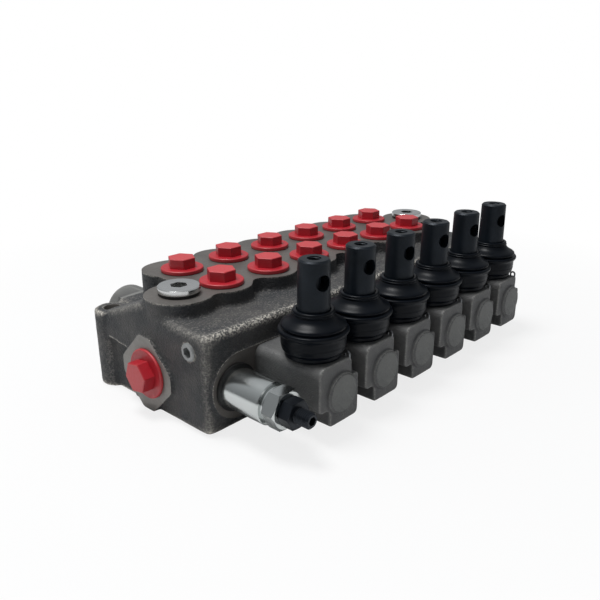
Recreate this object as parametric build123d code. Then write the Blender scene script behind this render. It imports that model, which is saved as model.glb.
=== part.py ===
from build123d import *
import math
import os

os.makedirs("parts", exist_ok=True)

# Frame: X along the row of sections, -Y towards the levers, Z up from the mounting plane

# Sections
SECTIONS = 6
PITCH = 35.0
SPOOL_Z = 24.0
SECTION_X = [(i - (SECTIONS - 1) / 2) * PITCH for i in range(SECTIONS)]
ROW_HALF = (SECTIONS - 1) / 2 * PITCH

# Clearances
RUN_GAP = 0.02
PUSH_GAP = 0.05
SOFT_GAP = 0.35
LOOSE_GAP = 0.4

# Body casting
BODY_HALF_Y = 55.0
BODY_END_X = 131.5
MAIN_END_X = 110.0
SHOULDER_Z = 53.0
REAR_LEDGE_Z = 41.5
REAR_LEDGE_Y = 24.0
CAST_FILLET = 3.0
PAD_RADIUS = 17.2
PAD_END_X = 128.7
PAD_PROUD = 1.0
PAD_FACE_Y = -BODY_HALF_Y - PAD_PROUD

# Machined port deck
DECK_Z = 61.0
FRONT_ROW_Y = -17.0
REAR_ROW_Y = 17.0
LOBE_RADIUS = 16.5
REAR_LOBE_Y = 25.0
NOTCH_DEPTH = 8.4
DECK_END_X = 106.0
TOP_BOSS_RADIUS = 18.0
LEFT_BOSS_X = -113.5
LEFT_BOSS_Y = -14.0
RIGHT_BOSS_X = 115.5
RIGHT_BOSS_Y = 2.0
WEB_TOP_Z = 47.0
BOSS_BLEND_R = 6.0

# Mounting lugs and feet
LUG_X = 123.5
LUG_Y = 35.0
LUG_RADIUS = 9.5
LUG_FOOT_RADIUS = 8.3
LUG_TOP_Z = 44.0
LUG_STEP_Z = 29.0
LUG_HOLE_R = 4.5
FOOT_THREAD_X = 70.0
FOOT_THREAD_Y = -45.0
FOOT_THREAD_R = 3.4
FOOT_THREAD_DEPTH = 14.0

# End ports
END_PORT_Y = -9.6
END_PORT_Z = 21.5
END_BOSS_Y = -7.8
END_BOSS_Z = 20.5
END_BOSS_SIDE = 35.4
END_BOSS_CHAMFER = 6.5
END_BOSS_PROUD = 1.5
END_BOSS_ROOT = 6.0
END_FACE_X = BODY_END_X + END_BOSS_PROUD
END_PORT_R = 10.4
END_PORT_DEPTH = 16.0
END_RECESS = 3.0
END_RECESS_Y = 8.0
END_RECESS_Z = 29.5

# Work ports
PORT_R = 8.3
PORT_DEPTH = 13.0
PORT_DRILL_R = 5.5

# Galleries
BORE_R = 8.0 + RUN_GAP
CHAMBER_R = 12.5
CHAMBER_WIDTH = 9.0
TANK_Y = 36.0
PRESSURE_Y = 0.0
GALLERY_R = 4.5
GALLERY_END_X = 118.0
LAND_OVERLAP = 1.0
RISER_R = 6.0

# Spool
SPOOL_R = 8.0
GROOVE_R = 5.5
TRAVEL = 6.5
COLLAR_R = 10.9
COLLAR_Y = 64.5
COLLAR_THICK = 2.0
TAIL_R = 4.0
TAIL_END_Y = 69.0
SPOOL_NECK_R = 4.0
SPOOL_HEAD_R = 7.5
SPOOL_HEAD_HALF = 7.5
SPOOL_HEAD_FLAT = 4.0

# Lever
LEVER_Y = -82.5
PIVOT_Z = 43.0
LEVER_TOP_Z = 87.25
LEVER_TOP_R = 7.6
LEVER_LOW_R = 8.0
LEVER_LOW_Z = 58.0
LEVER_CHAMFER = 0.8
LEVER_THREAD_R = 3.4
LEVER_THREAD_DEPTH = 26.0
CROSS_HOLE_R = 3.9
CROSS_HOLE_Z = 77.0
CROSS_HOLE_TURN = -12.0
EYE_R = 6.5
EYE_WIDTH = 9.0
LEVER_NECK_R = 4.0
PIN_R = 2.5
BALL_R = 3.5
BALL_GAP = 0.25
ARM_R = 2.0

# Lever box
BOX_LEFT = -13.5
BOX_RIGHT = 10.0
BOX_WIDE_RIGHT = 15.5
BOX_TOP_Z = 40.0
BOX_STEP_Z = 30.0
BOX_NOTCH_X = -5.8
BOX_NOTCH_Z = 17.0
BOX_BOTTOM_Z = 7.5
BOX_FRONT_Y = -98.5
BOX_FILLET = 2.5
BOX_CORNER_R = 5.0
BOX_FRONT_FILLET = 1.5
BOX_BOSS_R = 10.2
BOX_BOSS_X = 1.7
BOX_BOSS_Y = -100.8
BOX_BOSS_STEP_R = 9.2
BOX_BOSS_STEP = 0.6
BOX_BORE_R = 8.4
BOX_END_ROOM = 1.5
EAR_THICK = 3.4
EAR_GAP = 0.3
EAR_HALF_Y = 5.5
EAR_TOP_Z = 48.5
BOX_FLANGE_THICK = 6.0
BOX_FLANGE_LEFT = -14.2
BOX_FLANGE_RIGHT = 20.4
BOX_SCREW_R = 2.5
BOX_SCREW_HEAD_R = 4.2
BOX_SCREW_HEAD = 5.0
BOX_SCREW_DEPTH = 14.0
SCREW_CHAMFER = 0.5
BOX_SCREW_LOW_X = -10.2
BOX_SCREW_LOW_Z = 12.0
BOX_SCREW_HIGH_X = 15.9
BOX_SCREW_HIGH_Z = 35.0

# Boot
BOOT_WALL = 1.8
BOOT_BASE_R = 14.0
BOOT_SKIRT_R = 15.8
BOOT_SKIRT_LOW_Z = 44.0
BOOT_RING_R = 17.2
BOOT_RING_Z = 53.0
BOOT_RING_HALF = 1.0
BOOT_DOME_R = 16.0
BOOT_NECK_R = 10.0
BOOT_NECK_Z = 58.6
BOOT_COLLAR_R = 9.9
BOOT_TOP_Z = 63.0
BOOT_SKIRT_TOP_Z = 50.0

# Rear cap and centring springs
CAP_R = 15.0
CAP_INNER_R = 12.0
CAP_END_Y = 79.0
CAP_END_WALL = 3.0
CAP_FILLET = 3.5
CAP_FLANGE_W = 33.0
CAP_FLANGE_H = 30.0
CAP_FLANGE_THICK = 5.0
CAP_SCREW_R = 2.0
CAP_SCREW_HEAD_R = 3.5
CAP_SCREW_HEAD = 4.0
CAP_SCREW_DEPTH = 12.0
CAP_SCREW_X = 13.0
CAP_SCREW_Z = 11.4
SPRING_WIRE_R = 0.7
SPRING_COIL_R = 10.0
SPRING_TURNS = 3.0

# Seals round the spools
SEAL_R = 10.5
SEAL_WIDTH = 2.6

# Relief valve cartridge
RELIEF_X = -114.5
RELIEF_Z = 23.0
SLEEVE_R = 10.6
SLEEVE_END_Y = -82.0
SLEEVE_GROOVE_R = 9.2
SLEEVE_GROOVE = 1.5
SLEEVE_HEX_AF = 18.0
SLEEVE_HEX_END_Y = -91.5
SLEEVE_THREAD_R = 9.0
SLEEVE_THREAD_END_Y = -38.0
SLEEVE_NOSE_R = 6.0
SLEEVE_NOSE_END_Y = -12.0
SLEEVE_BORE_R = 4.6
SEAT_R = 2.5
SEAT_LENGTH = 3.0
DRAIN_R = 1.6
DRAIN_Y = -33.0
POPPET_LENGTH = 9.0
POPPET_CONE = 2.6
ADJUSTER_R = 4.0
ADJUSTER_END_Y = -106.0
ADJUSTER_TIP_Y = -76.0
ADJUSTER_SOCKET_AF = 4.0
NUT_AF = 13.0
NUT_THICK = 6.5
HEX_CHAMFER = 0.9
SLEEVE_CHAMFER = 0.5
RELIEF_SPRING_WIRE_R = 0.8
RELIEF_SPRING_COIL_R = 3.4
RELIEF_SPRING_TURNS = 9.0
RELIEF_SEAL_R = 12.2
RELIEF_SEAL_WIRE = 1.4

# Plugs
PLUG_FLANGE_R = 12.0
PLUG_FLANGE = 2.4
PLUG_HEX_AF = 14.0
PLUG_TOP_Z = 69.0
PLUG_STEM = 8.0
END_PLUG_FLANGE_R = 13.4
END_PLUG_FLANGE = 1.8
END_PLUG_HEX_AF = 15.0
END_PLUG_TURN = -20.0
END_PLUG_HEIGHT = 8.0
END_PLUG_STEM = 9.0
PLUG_HOLLOW = 0.72
PLUG_ROUND = 0.7
PLUG_HEX_ROUND = 0.5
STEEL_COLLAR_R = 11.0
STEEL_COLLAR = 3.3
STEEL_SOCKET_AF = 8.0
STEEL_SOCKET_DEPTH = 6.0
STEEL_THREAD = 12.0
STEEL_CHAMFER = 0.5
WASHER_R = 10.6
WASHER_THICK = 1.2
SET_PLUG_SETBACK = 12.3
SET_PLUG_Y = -BODY_HALF_Y + SET_PLUG_SETBACK
SET_PLUG_Z = 42.6
SET_PLUG_R = 4.6
SET_PLUG_DEPTH = 10.0
SET_PLUG_SOCKET_AF = 5.0
SET_PLUG_PROUD = 1.0
SET_PLUG_CHAMFER = 0.6
BLEED_R = 2.5

# Wire clip, its legs pressed into two small holes
CLIP_WIRE_R = 0.55
CLIP_RADIUS = 1.4
CLIP_ARCH_Z = 40.7
CLIP_FOOT_Z = 36.5
CLIP_X = 8.6
CLIP_Y = -96.4


def block(x0, x1, y0, y1, z0, z1):
    centre = ((x0 + x1) / 2, (y0 + y1) / 2, (z0 + z1) / 2)
    return Pos(*centre) * Box(x1 - x0, y1 - y0, z1 - z0)


def rod_x(radius, x0, x1, y, z):
    return Pos((x0 + x1) / 2, y, z) * Rot(0, 90, 0) * Cylinder(radius, x1 - x0)


def rod_y(radius, y0, y1, x, z):
    return Pos(x, (y0 + y1) / 2, z) * Rot(90, 0, 0) * Cylinder(radius, y1 - y0)


def rod_z(radius, z0, z1, x, y):
    return Pos(x, y, (z0 + z1) / 2) * Cylinder(radius, z1 - z0)


def hex_z(across_flats, z0, z1, x, y, turn=0.0):
    outline = RegularPolygon(across_flats / 2, 6, major_radius=False)
    return Pos(x, y, z0) * Rot(0, 0, turn) * extrude(outline, z1 - z0)


def hex_y(across_flats, y0, y1, x, z, turn=0.0):
    outline = RegularPolygon(across_flats / 2, 6, major_radius=False)
    return Pos(x, y1, z) * Rot(90, 0, 0) * Rot(0, 0, turn) * extrude(outline, y1 - y0)


def hex_x(across_flats, x0, x1, y, z, turn=0.0):
    outline = RegularPolygon(across_flats / 2, 6, major_radius=False)
    return Pos(x0, y, z) * Rot(0, 90, 0) * Rot(0, 0, turn) * extrude(outline, x1 - x0)


def hex_end_cone(across_flats, y0, y1, x, z):
    # The turned shape that bevels the corners at both ends of a hexagon along Y
    low_r = across_flats / 2
    high_r = low_r + 2 * HEX_CHAMFER
    outline = [
        (0, y0),
        (low_r, y0),
        (high_r, y0 + HEX_CHAMFER),
        (high_r, y1 - HEX_CHAMFER),
        (low_r, y1),
        (0, y1),
    ]
    return Pos(x, 0, z) * Rot(-90, 0, 0) * turned(outline)


def turned(points):
    # Revolves a closed (radius, height) outline about the Z axis
    profile = make_face(Plane.XZ * Polyline(*[(r, h) for r, h in points], close=True))
    return revolve(profile, Axis.Z)


def coil(coil_radius, wire_radius, turns, length):
    # An open coil spring standing on Z = 0
    path = Helix(pitch=(length - 2 * wire_radius) / turns, height=length - 2 * wire_radius, radius=coil_radius)
    section = Plane(origin=path @ 0, z_dir=path % 0) * Circle(wire_radius)
    return Pos(0, 0, wire_radius) * sweep(section, path=path, is_frenet=True)


def write(name, shape):
    pieces = shape.solids()
    solid = pieces[0] if len(pieces) == 1 else Compound(children=list(pieces))
    solid.label = name
    export_step(solid, "parts/" + name + ".step")


# Body: cast envelope
main_block = block(-MAIN_END_X, MAIN_END_X, -BODY_HALF_Y, REAR_LEDGE_Y, 0, SHOULDER_Z)
rear_ledge = block(-MAIN_END_X, MAIN_END_X, REAR_LEDGE_Y, BODY_HALF_Y, 0, REAR_LEDGE_Z)


def end_block(side, boss_y):
    # The end wall keeps the shoulder height past the top boss, then slopes down to the lug
    slope_start = boss_y + TOP_BOSS_RADIUS / 2
    outline = Plane.YZ * Polyline(
        (-BODY_HALF_Y, 0),
        (-BODY_HALF_Y, SHOULDER_Z),
        (boss_y - TOP_BOSS_RADIUS, SHOULDER_Z),
        (slope_start, DECK_Z - 2),
        (LUG_Y - LUG_RADIUS, WEB_TOP_Z),
        (LUG_Y, LUG_TOP_Z),
        (LUG_Y, 0),
        close=True,
    )
    inner = MAIN_END_X - CAST_FILLET
    wall = extrude(make_face(outline), BODY_END_X - inner, dir=(1, 0, 0))
    return Pos(inner, 0, 0) * wall if side > 0 else Pos(-BODY_END_X, 0, 0) * wall


def lug(side):
    top = rod_z(LUG_RADIUS, LUG_STEP_Z, LUG_TOP_Z, side * LUG_X, LUG_Y)
    foot = Pos(side * LUG_X, LUG_Y, LUG_STEP_Z / 2) * Cone(LUG_FOOT_RADIUS, LUG_RADIUS, LUG_STEP_Z)
    return top + foot


casting = main_block + rear_ledge
casting += end_block(-1, LEFT_BOSS_Y)
casting += end_block(1, RIGHT_BOSS_Y)
front_edges = casting.edges().filter_by_position(Axis.Y, -BODY_HALF_Y - 0.1, -BODY_HALF_Y + 0.1)
casting = fillet(front_edges, CAST_FILLET)
for side in (-1, 1):
    recess_x = side * (BODY_END_X - END_RECESS / 2)
    casting -= block(
        recess_x - END_RECESS / 2, recess_x + END_RECESS / 2, END_RECESS_Y, LUG_Y, 0, END_RECESS_Z
    )
casting += lug(-1) + lug(1)

# Body: lobed port deck, with round blends between neighbouring lobes and bosses
def blend_patch(ax, ay, ar, bx, by, br, radius):
    # Fills the corner on the right of the way from circle A to circle B, down to a tangent arc
    span = math.hypot(bx - ax, by - ay)
    reach_a = ar + radius
    along = (reach_a**2 - (br + radius) ** 2 + span**2) / (2 * span)
    across = math.sqrt(reach_a**2 - along**2)
    ux = (bx - ax) / span
    uy = (by - ay) / span
    cx = ax + along * ux + across * uy
    cy = ay + along * uy - across * ux
    patch = make_face(Polyline((ax, ay), (cx, cy), (bx, by), close=True))
    return patch - Pos(cx, cy) * Circle(radius)


half_pitch = PITCH / 2
notch_floor = LOBE_RADIUS - NOTCH_DEPTH
notch_r = (half_pitch**2 + notch_floor**2 - LOBE_RADIUS**2) / (2 * (LOBE_RADIUS - notch_floor))
corner_x = DECK_END_X - LOBE_RADIUS
deck = Pos(0, (FRONT_ROW_Y + REAR_LOBE_Y) / 2) * Rectangle(
    2 * (ROW_HALF + LOBE_RADIUS), REAR_LOBE_Y - FRONT_ROW_Y
)
for x in SECTION_X:
    deck += Pos(x, FRONT_ROW_Y) * Circle(LOBE_RADIUS)
    deck += Pos(x, REAR_LOBE_Y) * Circle(LOBE_RADIUS)
for i in range(SECTIONS - 1):
    x0 = SECTION_X[i]
    x1 = SECTION_X[i + 1]
    deck += blend_patch(x0, FRONT_ROW_Y, LOBE_RADIUS, x1, FRONT_ROW_Y, LOBE_RADIUS, notch_r)
    deck += blend_patch(x1, REAR_LOBE_Y, LOBE_RADIUS, x0, REAR_LOBE_Y, LOBE_RADIUS, notch_r)
for side in (-1, 1):
    deck += Pos(side * corner_x, REAR_LOBE_Y) * Circle(LOBE_RADIUS)
deck += Pos(LEFT_BOSS_X, LEFT_BOSS_Y) * Circle(TOP_BOSS_RADIUS)
deck += Pos(RIGHT_BOSS_X, RIGHT_BOSS_Y) * Circle(TOP_BOSS_RADIUS)
deck += blend_patch(
    LEFT_BOSS_X, LEFT_BOSS_Y, TOP_BOSS_RADIUS, SECTION_X[0], FRONT_ROW_Y, LOBE_RADIUS, BOSS_BLEND_R
)
deck += blend_patch(
    SECTION_X[-1], FRONT_ROW_Y, LOBE_RADIUS, RIGHT_BOSS_X, RIGHT_BOSS_Y, TOP_BOSS_RADIUS, BOSS_BLEND_R
)
casting += Pos(0, 0, REAR_LEDGE_Z) * extrude(deck, DECK_Z - REAR_LEDGE_Z, dir=(0, 0, 1))


# Body: machined pads and end bosses
pad_outline = Plane.XZ * Pos(0, RELIEF_Z) * SlotOverall(2 * PAD_END_X, 2 * PAD_RADIUS)
casting += Pos(0, -BODY_HALF_Y, 0) * extrude(pad_outline, PAD_PROUD, dir=(0, -1, 0))


def end_boss(side):
    outline = Rectangle(END_BOSS_SIDE, END_BOSS_SIDE)
    outline = chamfer(outline.vertices(), END_BOSS_CHAMFER)
    solid = extrude(outline, END_BOSS_ROOT)
    solid = Rot(0, 90, 0) * Rot(0, 0, 45) * solid
    start = END_FACE_X - END_BOSS_ROOT if side > 0 else -END_FACE_X
    return Pos(start, END_BOSS_Y, END_BOSS_Z) * solid


casting += end_boss(-1) + end_boss(1)

# Body: spool bores, chambers and galleries
chamber_ys = [-TANK_Y, FRONT_ROW_Y, PRESSURE_Y, REAR_ROW_Y, TANK_Y]
seal_front_y = PAD_FACE_Y + SEAL_WIDTH
seal_rear_y = BODY_HALF_Y - SEAL_WIDTH
for x in SECTION_X:
    casting -= rod_y(BORE_R, PAD_FACE_Y, BODY_HALF_Y, x, SPOOL_Z)
    casting -= rod_y(SEAL_R + PUSH_GAP, PAD_FACE_Y, seal_front_y, x, SPOOL_Z)
    casting -= rod_y(SEAL_R + PUSH_GAP, seal_rear_y, BODY_HALF_Y, x, SPOOL_Z)
    for y in chamber_ys:
        casting -= rod_y(CHAMBER_R, y - CHAMBER_WIDTH / 2, y + CHAMBER_WIDTH / 2, x, SPOOL_Z)
    for y in (FRONT_ROW_Y, REAR_ROW_Y):
        casting -= rod_z(PORT_R, DECK_Z - PORT_DEPTH, DECK_Z, x, y)
        casting -= rod_z(PORT_DRILL_R, SPOOL_Z, DECK_Z, x, y)
for y in (-TANK_Y, PRESSURE_Y, TANK_Y):
    casting -= rod_x(GALLERY_R, -ROW_HALF, GALLERY_END_X, y, SPOOL_Z)
casting -= rod_x(GALLERY_R, -GALLERY_END_X, -ROW_HALF, PRESSURE_Y, SPOOL_Z)
casting -= rod_x(GALLERY_R, -GALLERY_END_X, -ROW_HALF, -TANK_Y, SPOOL_Z)
casting -= rod_y(GALLERY_R, -TANK_Y, TANK_Y, GALLERY_END_X, SPOOL_Z)

# Body: end ports, top bosses, relief cavity and bleed drilling
casting -= rod_x(END_PORT_R, -END_FACE_X, -END_FACE_X + END_PORT_DEPTH, END_PORT_Y, END_PORT_Z)
casting -= rod_x(END_PORT_R, END_FACE_X - END_PORT_DEPTH, END_FACE_X, END_PORT_Y, END_PORT_Z)
for x, y in ((LEFT_BOSS_X, LEFT_BOSS_Y), (RIGHT_BOSS_X, RIGHT_BOSS_Y)):
    casting -= rod_z(PORT_R, DECK_Z - PORT_DEPTH, DECK_Z, x, y)
    casting -= rod_z(RISER_R, SPOOL_Z, DECK_Z, x, y)
casting -= rod_y(SLEEVE_THREAD_R + PUSH_GAP, PAD_FACE_Y, SLEEVE_THREAD_END_Y, RELIEF_X, RELIEF_Z)
casting -= rod_y(
    SLEEVE_NOSE_R + PUSH_GAP, SLEEVE_THREAD_END_Y, SLEEVE_NOSE_END_Y + LOOSE_GAP, RELIEF_X, RELIEF_Z
)
casting -= rod_y(GALLERY_R, SLEEVE_NOSE_END_Y, PRESSURE_Y, RELIEF_X, RELIEF_Z)
casting -= rod_x(SET_PLUG_R + PUSH_GAP, -BODY_END_X, -BODY_END_X + SET_PLUG_DEPTH, SET_PLUG_Y, SET_PLUG_Z)
casting -= rod_x(BLEED_R, -BODY_END_X, RELIEF_X, SET_PLUG_Y, SET_PLUG_Z)
casting -= rod_z(BLEED_R, RELIEF_Z, SET_PLUG_Z, RELIEF_X, SET_PLUG_Y)

# Body: mounting holes and screw holes
for side in (-1, 1):
    casting -= rod_z(LUG_HOLE_R, 0, LUG_TOP_Z, side * LUG_X, LUG_Y)
    casting -= rod_z(FOOT_THREAD_R, 0, FOOT_THREAD_DEPTH, side * FOOT_THREAD_X, FOOT_THREAD_Y)
box_screw_spots = [
    (x + offset_x, z)
    for x in SECTION_X
    for offset_x, z in ((BOX_SCREW_LOW_X, BOX_SCREW_LOW_Z), (BOX_SCREW_HIGH_X, BOX_SCREW_HIGH_Z))
]
cap_screw_spots = [
    (x + side * CAP_SCREW_X, SPOOL_Z + side * CAP_SCREW_Z) for x in SECTION_X for side in (-1, 1)
]
for x, z in box_screw_spots:
    casting -= rod_y(BOX_SCREW_R + PUSH_GAP, PAD_FACE_Y, PAD_FACE_Y + BOX_SCREW_DEPTH, x, z)
for x, z in cap_screw_spots:
    casting -= rod_y(CAP_SCREW_R + PUSH_GAP, BODY_HALF_Y - CAP_SCREW_DEPTH, BODY_HALF_Y, x, z)
write("valve_body", casting)


# Spools
half_chamber = CHAMBER_WIDTH / 2
centre_groove_half = REAR_ROW_Y - half_chamber - LAND_OVERLAP
outer_groove_start = REAR_ROW_Y + half_chamber + LAND_OVERLAP
outer_groove_end = TANK_Y + half_chamber


def groove(y0, y1, x):
    return rod_y(SPOOL_R + 1, y0, y1, x, SPOOL_Z) - rod_y(GROOVE_R, y0, y1, x, SPOOL_Z)


def make_spool(x):
    bar = rod_y(SPOOL_R, PAD_FACE_Y, BODY_HALF_Y + LOOSE_GAP, x, SPOOL_Z)
    bar -= groove(-centre_groove_half, centre_groove_half, x)
    bar -= groove(-outer_groove_end, -outer_groove_start, x)
    bar -= groove(outer_groove_start, outer_groove_end, x)
    bar += rod_y(TAIL_R, BODY_HALF_Y, TAIL_END_Y, x, SPOOL_Z)
    bar += rod_y(COLLAR_R, COLLAR_Y, COLLAR_Y + COLLAR_THICK, x, SPOOL_Z)
    head_front = LEVER_Y - SPOOL_HEAD_HALF
    head_back = LEVER_Y + SPOOL_HEAD_HALF
    flat_z = SPOOL_Z + SPOOL_HEAD_FLAT
    head = rod_y(SPOOL_HEAD_R, head_front, head_back, x, SPOOL_Z)
    head -= block(x - SPOOL_HEAD_R, x + SPOOL_HEAD_R, head_front, head_back, flat_z, flat_z + SPOOL_HEAD_R)
    pocket = BALL_R + BALL_GAP
    pocket_floor = SPOOL_Z - BALL_R - 2 * BALL_GAP
    head -= block(x - pocket, x + pocket, LEVER_Y - pocket, LEVER_Y + pocket, pocket_floor, flat_z)
    return bar + head + rod_y(SPOOL_NECK_R, head_back, PAD_FACE_Y, x, SPOOL_Z)


for i, x in enumerate(SECTION_X):
    write(f"spool_{i + 1}", make_spool(x))


# Levers
def make_lever(x):
    socket = Pos(x, LEVER_Y, (LEVER_LOW_Z + LEVER_TOP_Z) / 2) * Cone(
        LEVER_LOW_R, LEVER_TOP_R, LEVER_TOP_Z - LEVER_LOW_Z
    )
    socket = chamfer(socket.edges().sort_by(Axis.Z)[-1], LEVER_CHAMFER)
    lever = socket + rod_x(EYE_R, x - EYE_WIDTH / 2, x + EYE_WIDTH / 2, LEVER_Y, PIVOT_Z)
    lever += rod_z(LEVER_NECK_R, PIVOT_Z, LEVER_LOW_Z, x, LEVER_Y)
    lever += rod_z(ARM_R, SPOOL_Z, PIVOT_Z, x, LEVER_Y)
    lever += Pos(x, LEVER_Y, SPOOL_Z) * Sphere(BALL_R)
    lever -= rod_z(LEVER_THREAD_R, LEVER_TOP_Z - LEVER_THREAD_DEPTH, LEVER_TOP_Z, x, LEVER_Y)
    cross_hole = Rot(0, 0, CROSS_HOLE_TURN) * rod_y(CROSS_HOLE_R, -2 * LEVER_LOW_R, 0, 0, CROSS_HOLE_Z)
    lever -= Pos(x, LEVER_Y, 0) * cross_hole
    lever -= rod_x(PIN_R + RUN_GAP, x - EYE_WIDTH, x + EYE_WIDTH, LEVER_Y, PIVOT_Z)
    return lever


for i, x in enumerate(SECTION_X):
    write(f"lever_{i + 1}", make_lever(x))


# Lever boxes, hollow where the spool head and the lever arm move
box_bore_end_y = LEVER_Y - SPOOL_HEAD_HALF - TRAVEL - BOX_END_ROOM
box_slot_half_y = TRAVEL + BALL_R + BOX_END_ROOM


def box_outline():
    # The box as seen from the front, in X and Z
    outline = make_face(
        Polyline(
            (BOX_LEFT, BOX_NOTCH_Z),
            (BOX_LEFT, BOX_TOP_Z),
            (BOX_RIGHT, BOX_TOP_Z),
            (BOX_RIGHT, BOX_STEP_Z),
            (BOX_WIDE_RIGHT, BOX_STEP_Z),
            (BOX_WIDE_RIGHT, BOX_BOTTOM_Z),
            (BOX_NOTCH_X, BOX_BOTTOM_Z),
            (BOX_NOTCH_X, BOX_NOTCH_Z),
            close=True,
        )
    )
    top_corner = (BOX_RIGHT, BOX_TOP_Z)
    outline = fillet(outline.vertices().sort_by_distance(top_corner)[1:], BOX_FILLET)
    return fillet(outline.vertices().sort_by_distance(top_corner)[0], BOX_CORNER_R)


def make_box(x):
    back_y = PAD_FACE_Y
    shell = Pos(x, back_y, 0) * extrude(Plane.XZ * box_outline(), back_y - BOX_FRONT_Y, dir=(0, -1, 0))
    front_edges = shell.edges().filter_by_position(Axis.Y, BOX_FRONT_Y - 0.1, BOX_FRONT_Y + 0.1)
    shell = fillet(front_edges, BOX_FRONT_FILLET)
    boss_x = x + BOX_BOSS_X
    shell += rod_y(BOX_BOSS_R, BOX_BOSS_Y + BOX_BOSS_STEP, BOX_FRONT_Y, boss_x, SPOOL_Z)
    shell += rod_y(BOX_BOSS_STEP_R, BOX_BOSS_Y, BOX_FRONT_Y, boss_x, SPOOL_Z)
    shell += block(
        x + BOX_FLANGE_LEFT,
        x + BOX_FLANGE_RIGHT,
        back_y - BOX_FLANGE_THICK,
        back_y,
        BOX_BOTTOM_Z,
        BOX_TOP_Z,
    )
    ear_inner = EYE_WIDTH / 2 + EAR_GAP
    ears = block(
        x - ear_inner - EAR_THICK,
        x + ear_inner + EAR_THICK,
        LEVER_Y - EAR_HALF_Y,
        LEVER_Y + EAR_HALF_Y,
        BOX_TOP_Z - 1,
        EAR_TOP_Z,
    )
    shell += ears
    shell -= block(
        x - ear_inner,
        x + ear_inner,
        LEVER_Y - box_slot_half_y,
        LEVER_Y + box_slot_half_y,
        SPOOL_Z,
        EAR_TOP_Z,
    )
    shell -= rod_y(BOX_BORE_R, box_bore_end_y, back_y, x, SPOOL_Z)
    shell -= rod_x(PIN_R + PUSH_GAP, x + BOX_LEFT, x - BOX_LEFT, LEVER_Y, PIVOT_Z)
    for offset_x, z in ((BOX_SCREW_LOW_X, BOX_SCREW_LOW_Z), (BOX_SCREW_HIGH_X, BOX_SCREW_HIGH_Z)):
        shell -= rod_y(BOX_SCREW_R + LOOSE_GAP, back_y - BOX_FLANGE_THICK, back_y, x + offset_x, z)
    for side in (-1, 1):
        leg_y = CLIP_Y + side * CLIP_RADIUS
        shell -= rod_z(CLIP_WIRE_R + PUSH_GAP, CLIP_FOOT_Z, BOX_TOP_Z, x + CLIP_X, leg_y)
    return shell


for i, x in enumerate(SECTION_X):
    write(f"lever_box_{i + 1}", make_box(x))


# Boots, one turned profile cut flat beside the box walls
def make_boot():
    wall = BOOT_WALL
    outer = [
        (BOOT_BASE_R, BOX_TOP_Z),
        (BOOT_SKIRT_R, BOOT_SKIRT_LOW_Z),
        (BOOT_SKIRT_R, BOOT_SKIRT_TOP_Z),
        (BOOT_DOME_R, BOOT_RING_Z - BOOT_RING_HALF),
        (BOOT_RING_R, BOOT_RING_Z - BOOT_RING_HALF),
        (BOOT_RING_R, BOOT_RING_Z + BOOT_RING_HALF),
        (BOOT_DOME_R, BOOT_RING_Z + BOOT_RING_HALF),
        (BOOT_DOME_R - 1.5, BOOT_RING_Z + 3),
        (BOOT_NECK_R + 1.5, BOOT_NECK_Z - 1.5),
        (BOOT_NECK_R, BOOT_NECK_Z),
        (BOOT_COLLAR_R, BOOT_TOP_Z),
    ]
    grip_r = LEVER_LOW_R + SOFT_GAP
    inner = [
        (grip_r, BOOT_TOP_Z),
        (grip_r, BOOT_NECK_Z - wall),
        (BOOT_DOME_R - wall - 1, BOOT_RING_Z),
        (BOOT_SKIRT_R - wall, BOOT_SKIRT_TOP_Z),
        (BOOT_SKIRT_R - wall, BOOT_SKIRT_LOW_Z),
        (BOOT_BASE_R - wall, BOX_TOP_Z),
    ]
    return turned(outer + inner)


boot = make_boot()
for i, x in enumerate(SECTION_X):
    write(f"boot_{i + 1}", Pos(x, LEVER_Y, 0) * boot)

# Pivot pins
pin_half = EYE_WIDTH / 2 + EAR_GAP + EAR_THICK
write("pivot_pins", Part() + [rod_x(PIN_R, x - pin_half, x + pin_half, LEVER_Y, PIVOT_Z) for x in SECTION_X])


# Wire clips standing at the front right corner of each box top
def make_clip(x):
    arch = Rot(0, 90, 0) * Torus(CLIP_RADIUS, CLIP_WIRE_R)
    reach = CLIP_RADIUS + 2 * CLIP_WIRE_R
    arch &= block(-reach, reach, -reach, reach, 0, reach)
    for side in (-1, 1):
        arch += rod_z(CLIP_WIRE_R, CLIP_FOOT_Z - CLIP_ARCH_Z, 0, 0, side * CLIP_RADIUS)
    return Pos(x + CLIP_X, CLIP_Y, CLIP_ARCH_Z) * arch


write("wire_clips", Part() + [make_clip(x) for x in SECTION_X])


# Screws
def cap_screw(radius, head_radius, head, length, socket_af):
    # Shank along -Z from the seat plane, head above it
    cap = rod_z(head_radius, 0, head, 0, 0)
    cap = chamfer(cap.edges().sort_by(Axis.Z)[-1], SCREW_CHAMFER)
    return cap + rod_z(radius, -length, 0, 0, 0) - hex_z(socket_af, head / 2, head, 0, 0)


box_screw = cap_screw(
    BOX_SCREW_R, BOX_SCREW_HEAD_R, BOX_SCREW_HEAD, BOX_FLANGE_THICK + BOX_SCREW_DEPTH - 1, BOX_SCREW_R * 1.6
)
box_seat_y = PAD_FACE_Y - BOX_FLANGE_THICK
write(
    "box_screws",
    Part() + [Pos(x, box_seat_y, z) * Rot(90, 0, 0) * box_screw for x, z in box_screw_spots],
)
rear_screw = cap_screw(
    CAP_SCREW_R, CAP_SCREW_HEAD_R, CAP_SCREW_HEAD, CAP_FLANGE_THICK + CAP_SCREW_DEPTH - 1, CAP_SCREW_R * 1.5
)
cap_seat_y = BODY_HALF_Y + CAP_FLANGE_THICK
write(
    "cap_screws",
    Part() + [Pos(x, cap_seat_y, z) * Rot(-90, 0, 0) * rear_screw for x, z in cap_screw_spots],
)


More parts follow.
